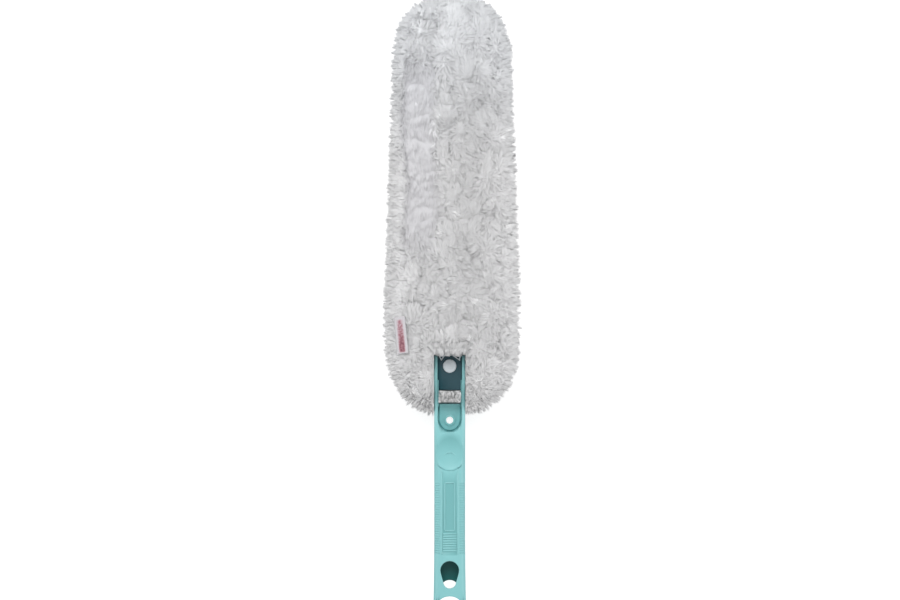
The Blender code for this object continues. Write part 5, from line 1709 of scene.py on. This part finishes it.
@dataclass(frozen=True)
class Tag:
    """The woven tag: a thin tape that curls a little at its free lower end."""

    place: TagPlace
    curl: float = 1.2 * MM
    ripple: float = 0.15
    ripples: float = 7.0
    rows: int = 36
    columns: int = 10

    def build(self, material: bpy.types.Material) -> bpy.types.Object:
        """Builds the tag where its node lies.

        The tape is a grid over width and length, lifted by curl * length^2 with a slight
        ripple, with a second skin underneath.

        Args:
            material: its finish.

        Returns:
            The tag.
        """
        at = self.place
        s, t = np.meshgrid(np.linspace(0.0, 1.0, self.columns), np.linspace(0.0, 1.0, self.rows))
        rise = self.curl * ((1.0 - t) ** 2 - self.ripple * np.sin(t * self.ripples) * (s - 0.5))
        flat = (s - 0.5)[..., None] * at.spans[0] * at.wide + (t - 0.5)[..., None] * at.spans[1] * at.long
        upper = at.centre + flat + (rise + at.spans[2] / 2)[..., None] * at.up
        lower = upper - at.spans[2] * at.up
        return self.skin(upper, lower, s, t, material)

    def skin(self, upper: Array, lower: Array, s: Array, t: Array,
             material: bpy.types.Material) -> bpy.types.Object:
        """Joins the two faces and the rim of the tape into one closed mesh with a map.

        Args:
            upper: (rows, columns, 3) places of the upper face.
            lower: the same for the lower face.
            s: shares across.
            t: shares along.
            material: its finish.

        Returns:
            The tag.
        """
        size = self.rows * self.columns
        points = np.concatenate([upper.reshape(-1, 3), lower.reshape(-1, 3)])
        a = (np.arange(self.rows - 1)[:, None] * self.columns + np.arange(self.columns - 1)[None]).ravel()
        b = a + self.columns
        faces = [np.stack([a, a + 1, b + 1, b], axis=-1), np.stack([a, b, b + 1, a + 1], axis=-1) + size]
        edge = np.concatenate([
            np.arange(self.columns),
            np.arange(1, self.rows) * self.columns + self.columns - 1,
            np.arange(self.columns - 2, -1, -1) + (self.rows - 1) * self.columns,
            np.arange(self.rows - 2, 0, -1) * self.columns,
        ])
        after = np.roll(edge, -1)
        faces.append(np.stack([edge, edge + size, after + size, after], axis=-1))
        faces = np.concatenate(faces)
        piece = piece_from("woven_tag", points, faces, material)
        places = np.tile(np.stack([s.ravel(), t.ravel()], axis=-1), (2, 1))
        layer = piece.data.uv_layers.new(name="tape")
        layer.data.foreach_set("uv", places[faces.ravel()].astype(np.float32).ravel())
        settle(piece, Body.HEAD, Slot.CLOTH, "sleeve_tag")
        return piece


# Sub-assemblies


@dataclass(frozen=True)
class Handle:
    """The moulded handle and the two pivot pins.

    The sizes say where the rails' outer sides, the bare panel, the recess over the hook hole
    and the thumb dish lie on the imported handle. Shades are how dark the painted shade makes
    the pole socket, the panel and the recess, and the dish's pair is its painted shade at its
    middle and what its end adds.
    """

    finish: Plastic = HANDLE_PLASTIC
    rail_side: Span = (12.0 * MM, 15.0 * MM)
    rail_foot: Span = (-125.0 * MM, -100.0 * MM)
    # share of painted light on the rails' outer sides
    rail_light_share: float = 0.65
    wall: float = 2.2 * MM
    panel_half: float = 7.6 * MM
    panel_top: float = -176.0 * MM
    panel_low: float = 35.4 * MM
    panel_high: float = 35.9 * MM
    recess_low: float = 28.0 * MM
    recess_high: float = 31.5 * MM
    recess_end: float = -132.0 * MM
    dish_low: float = -172.0 * MM
    dish_top: float = -128.0 * MM
    dish_high: float = 35.5 * MM
    # painted shade of the dish, the pole socket, the panel and the recess
    dish_shade: Span = (0.10, 0.20)
    shades: tuple[float, float, float] = (1.0, 0.28, 0.22)

    def build(self) -> None:
        """Dresses the handle and its pins."""
        material = self.finish.build()
        handle = refined("handle", material, Body.HANDLE, Slot.TURQUOISE)
        places = corners(handle)
        # painted shade in the handle's hollows
        attribute(handle, "hollow", self.hollow(places))
        # painted light on the rails' outer sides
        attribute(handle, "pale", self.painted_rail_light(places))
        for node in ("pivot_pin_left", "pivot_pin_right"):
            refined(node, material, Body.HANDLE, Slot.TURQUOISE)

    def painted_rail_light(self, places: Array) -> Array:
        """How far corners belong to the rails' outer sides, which get painted light where the pile beside them
        shades them.
        """
        outer = smooth(np.abs(places[:, 0]), *self.rail_side)
        return self.rail_light_share * outer * smooth(places[:, 1], *self.rail_foot)

    def hollow(self, places: Array) -> Array:
        """Marks corners that get painted shade.

        They are the pole socket's inner walls, which lie in its opening's grown box, the low
        panel along the grip's middle, the recess over the hook hole, and the thumb dish, the
        more the nearer to the recess.

        Args:
            places: the handle's corners.

        Returns:
            A number from 0 to 1 for each corner.
        """
        opening = next(o for o in frame["record"]["physics"]["openings"] if o["name"] == "pole_socket")
        low, high = np.array(opening["box_m"])
        inner = np.all((places > low - self.wall) & (places < high + self.wall), axis=-1)
        x, y, z = np.abs(places[:, 0]), places[:, 1], places[:, 2]
        panel = (x < self.panel_half) & (y < self.panel_top) & (z > self.panel_low) & (z < self.panel_high)
        recess = (z > self.recess_low) & (z < self.recess_high) & (y > self.recess_end)
        dish = (z < self.dish_high) & (y > self.dish_low) & (y < self.dish_top) & (z > self.recess_high)
        slope = eased(self.dish_shade, smooth(y, (self.dish_low + self.dish_top) / 2, self.dish_top))
        return np.select([inner, panel, recess, dish], [*self.shades, slope], 0.0)


@dataclass(frozen=True)
class TiltBlock:
    """The petrol block, the frame that plugs into it, the button and its spring."""

    block: Plastic = BLOCK_PLASTIC
    frame: Plastic = FRAME_PLASTIC
    spring: Wire = field(default_factory=Wire)

    def build(self) -> None:
        """Dresses the block and what it carries."""
        white = self.frame.build()
        refined("swivel_block", self.block.build(), Body.HEAD, Slot.PETROL)
        refined("head_frame", white, Body.HEAD, Slot.WHITE)
        refined("release_button", white, Body.BUTTON, Slot.WHITE)
        self.coil()

    def coil(self) -> None:
        """Dresses the spring, which the button presses together from above."""
        spring = refined("button_spring", self.spring.build(), Body.HEAD, Slot.STEEL)
        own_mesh(spring)


@dataclass(frozen=True)
class Sleeve:
    """The plush sleeve: pile, backing, seam, binding and tag."""

    plush: Plush = field(default_factory=Plush)
    knit: Knit = BACKING_KNIT
    tape: Knit = BINDING_TAPE
    tag: WovenTag = field(default_factory=WovenTag)

    def build(self) -> None:
        """Dresses the cloth and grows the pile."""
        knit, tape, plush = self.knit.build(), self.tape.build(), self.plush.build()
        for node in ("backing_front", "backing_back", "side_seam"):
            dress(node, knit)
        dress("mouth_binding", tape)
        place = tag_place()
        Pile(head_shape(), place).build(plush)
        Tag(place).build(self.tag.build())


@dataclass(frozen=True)
class Light:
    """A square soft light, with its power in watts."""

    name: str
    place: tuple[float, float, float]
    power: float
    size: float = 1.2

    def hang(self, aim: Vector) -> None:
        """Hangs the light, turned to a point."""
        lamp = bpy.data.lights.new(self.name, "AREA")
        lamp.shape = "SQUARE"
        lamp.size = self.size
        lamp.energy = self.power
        hung = bpy.data.objects.new(self.name, lamp)
        hung.location = self.place
        hung.rotation_euler = (aim - Vector(self.place)).to_track_quat("-Z", "Y").to_euler()
        bpy.context.scene.collection.objects.link(hung)


@dataclass(frozen=True)
class Studio:
    """A bright plain floor, soft light from above, and the camera over the duster.

    The floor glows to the camera alone, so it is as pale as the photograph's ground.
    """

    lens: float = 130.0
    sensor: float = 36.0
    frame_width: float = 0.900
    near: float = 0.05
    far: float = 60.0
    level: float = 31.0 * MM
    centre: tuple[float, float] = (0.3 * MM, 4.0 * MM)
    floor_size: float = 14.0
    floor_level: float = -0.4 * MM
    paper: Span = (0.54, 0.56)
    glow: float = 0.7
    air: float = 0.56
    lights: tuple[Light, ...] = (Light("key_light", (-0.1, 1.3, 1.9), 23.0),
                                 Light("left_light", (-1.6, 0.1, 0.8), 9.0),
                                 Light("right_light", (1.6, -0.1, 0.8), 10.0))
    aim: tuple[float, float, float] = (0.0, 0.05, 0.0)

    def floor(self) -> None:
        """Lays the floor that the duster lies on."""
        material, graph, shader = new_material("studio_floor")
        seen = graph.add("ShaderNodeLightPath").outputs["Is Camera Ray"]
        paper = graph.ramp(graph.noise(graph.place(), 3.0), 0.3, 0.7, *self.paper)
        graph.set(shader, Base_Color=graph.grey(paper), Roughness=0.9, Emission_Color=rgba((1.0, 1.0, 1.0)),
                  Emission_Strength=graph.math("MULTIPLY", seen, self.glow))
        half = self.floor_size / 2
        sides = [(-half, -half), (half, -half), (half, half), (-half, half)]
        points = np.array([(*side, self.floor_level) for side in sides])
        piece_from("studio_floor", points, np.array([(0, 1, 2, 3)]), material)

    def world(self) -> None:
        """Fills the room with even white light."""
        world = bpy.data.worlds.new("studio_air")
        world.use_nodes = True
        background = world.node_tree.nodes["Background"]
        background.inputs["Color"].default_value = rgba((1.0, 1.0, 1.0))
        background.inputs["Strength"].default_value = self.air
        bpy.context.scene.world = world

    def camera(self) -> None:
        """Hangs the camera straight over the duster, so that its frame is the photograph's."""
        lens = bpy.data.cameras.new("camera")
        lens.lens = self.lens
        lens.sensor_width = self.sensor
        lens.clip_start, lens.clip_end = self.near, self.far
        camera = bpy.data.objects.new("camera", lens)
        camera.location = (*self.centre, self.level + self.frame_width * self.lens / self.sensor)
        bpy.context.scene.collection.objects.link(camera)
        bpy.context.scene.camera = camera

    def build(self) -> None:
        """Sets the stage."""
        self.floor()
        self.world()
        for light in self.lights:
            light.hang(Vector(self.aim))
        self.camera()
        bpy.context.scene.view_settings.view_transform = "Standard"


def main() -> None:
    """Builds the pieces in order and reports each one."""
    logging.basicConfig(level=logging.INFO, format="%(name)s %(message)s")
    Studio().build()
    Handle().build()
    TiltBlock().build()
    Sleeve().build()


if __name__ == "__main__":
    main()
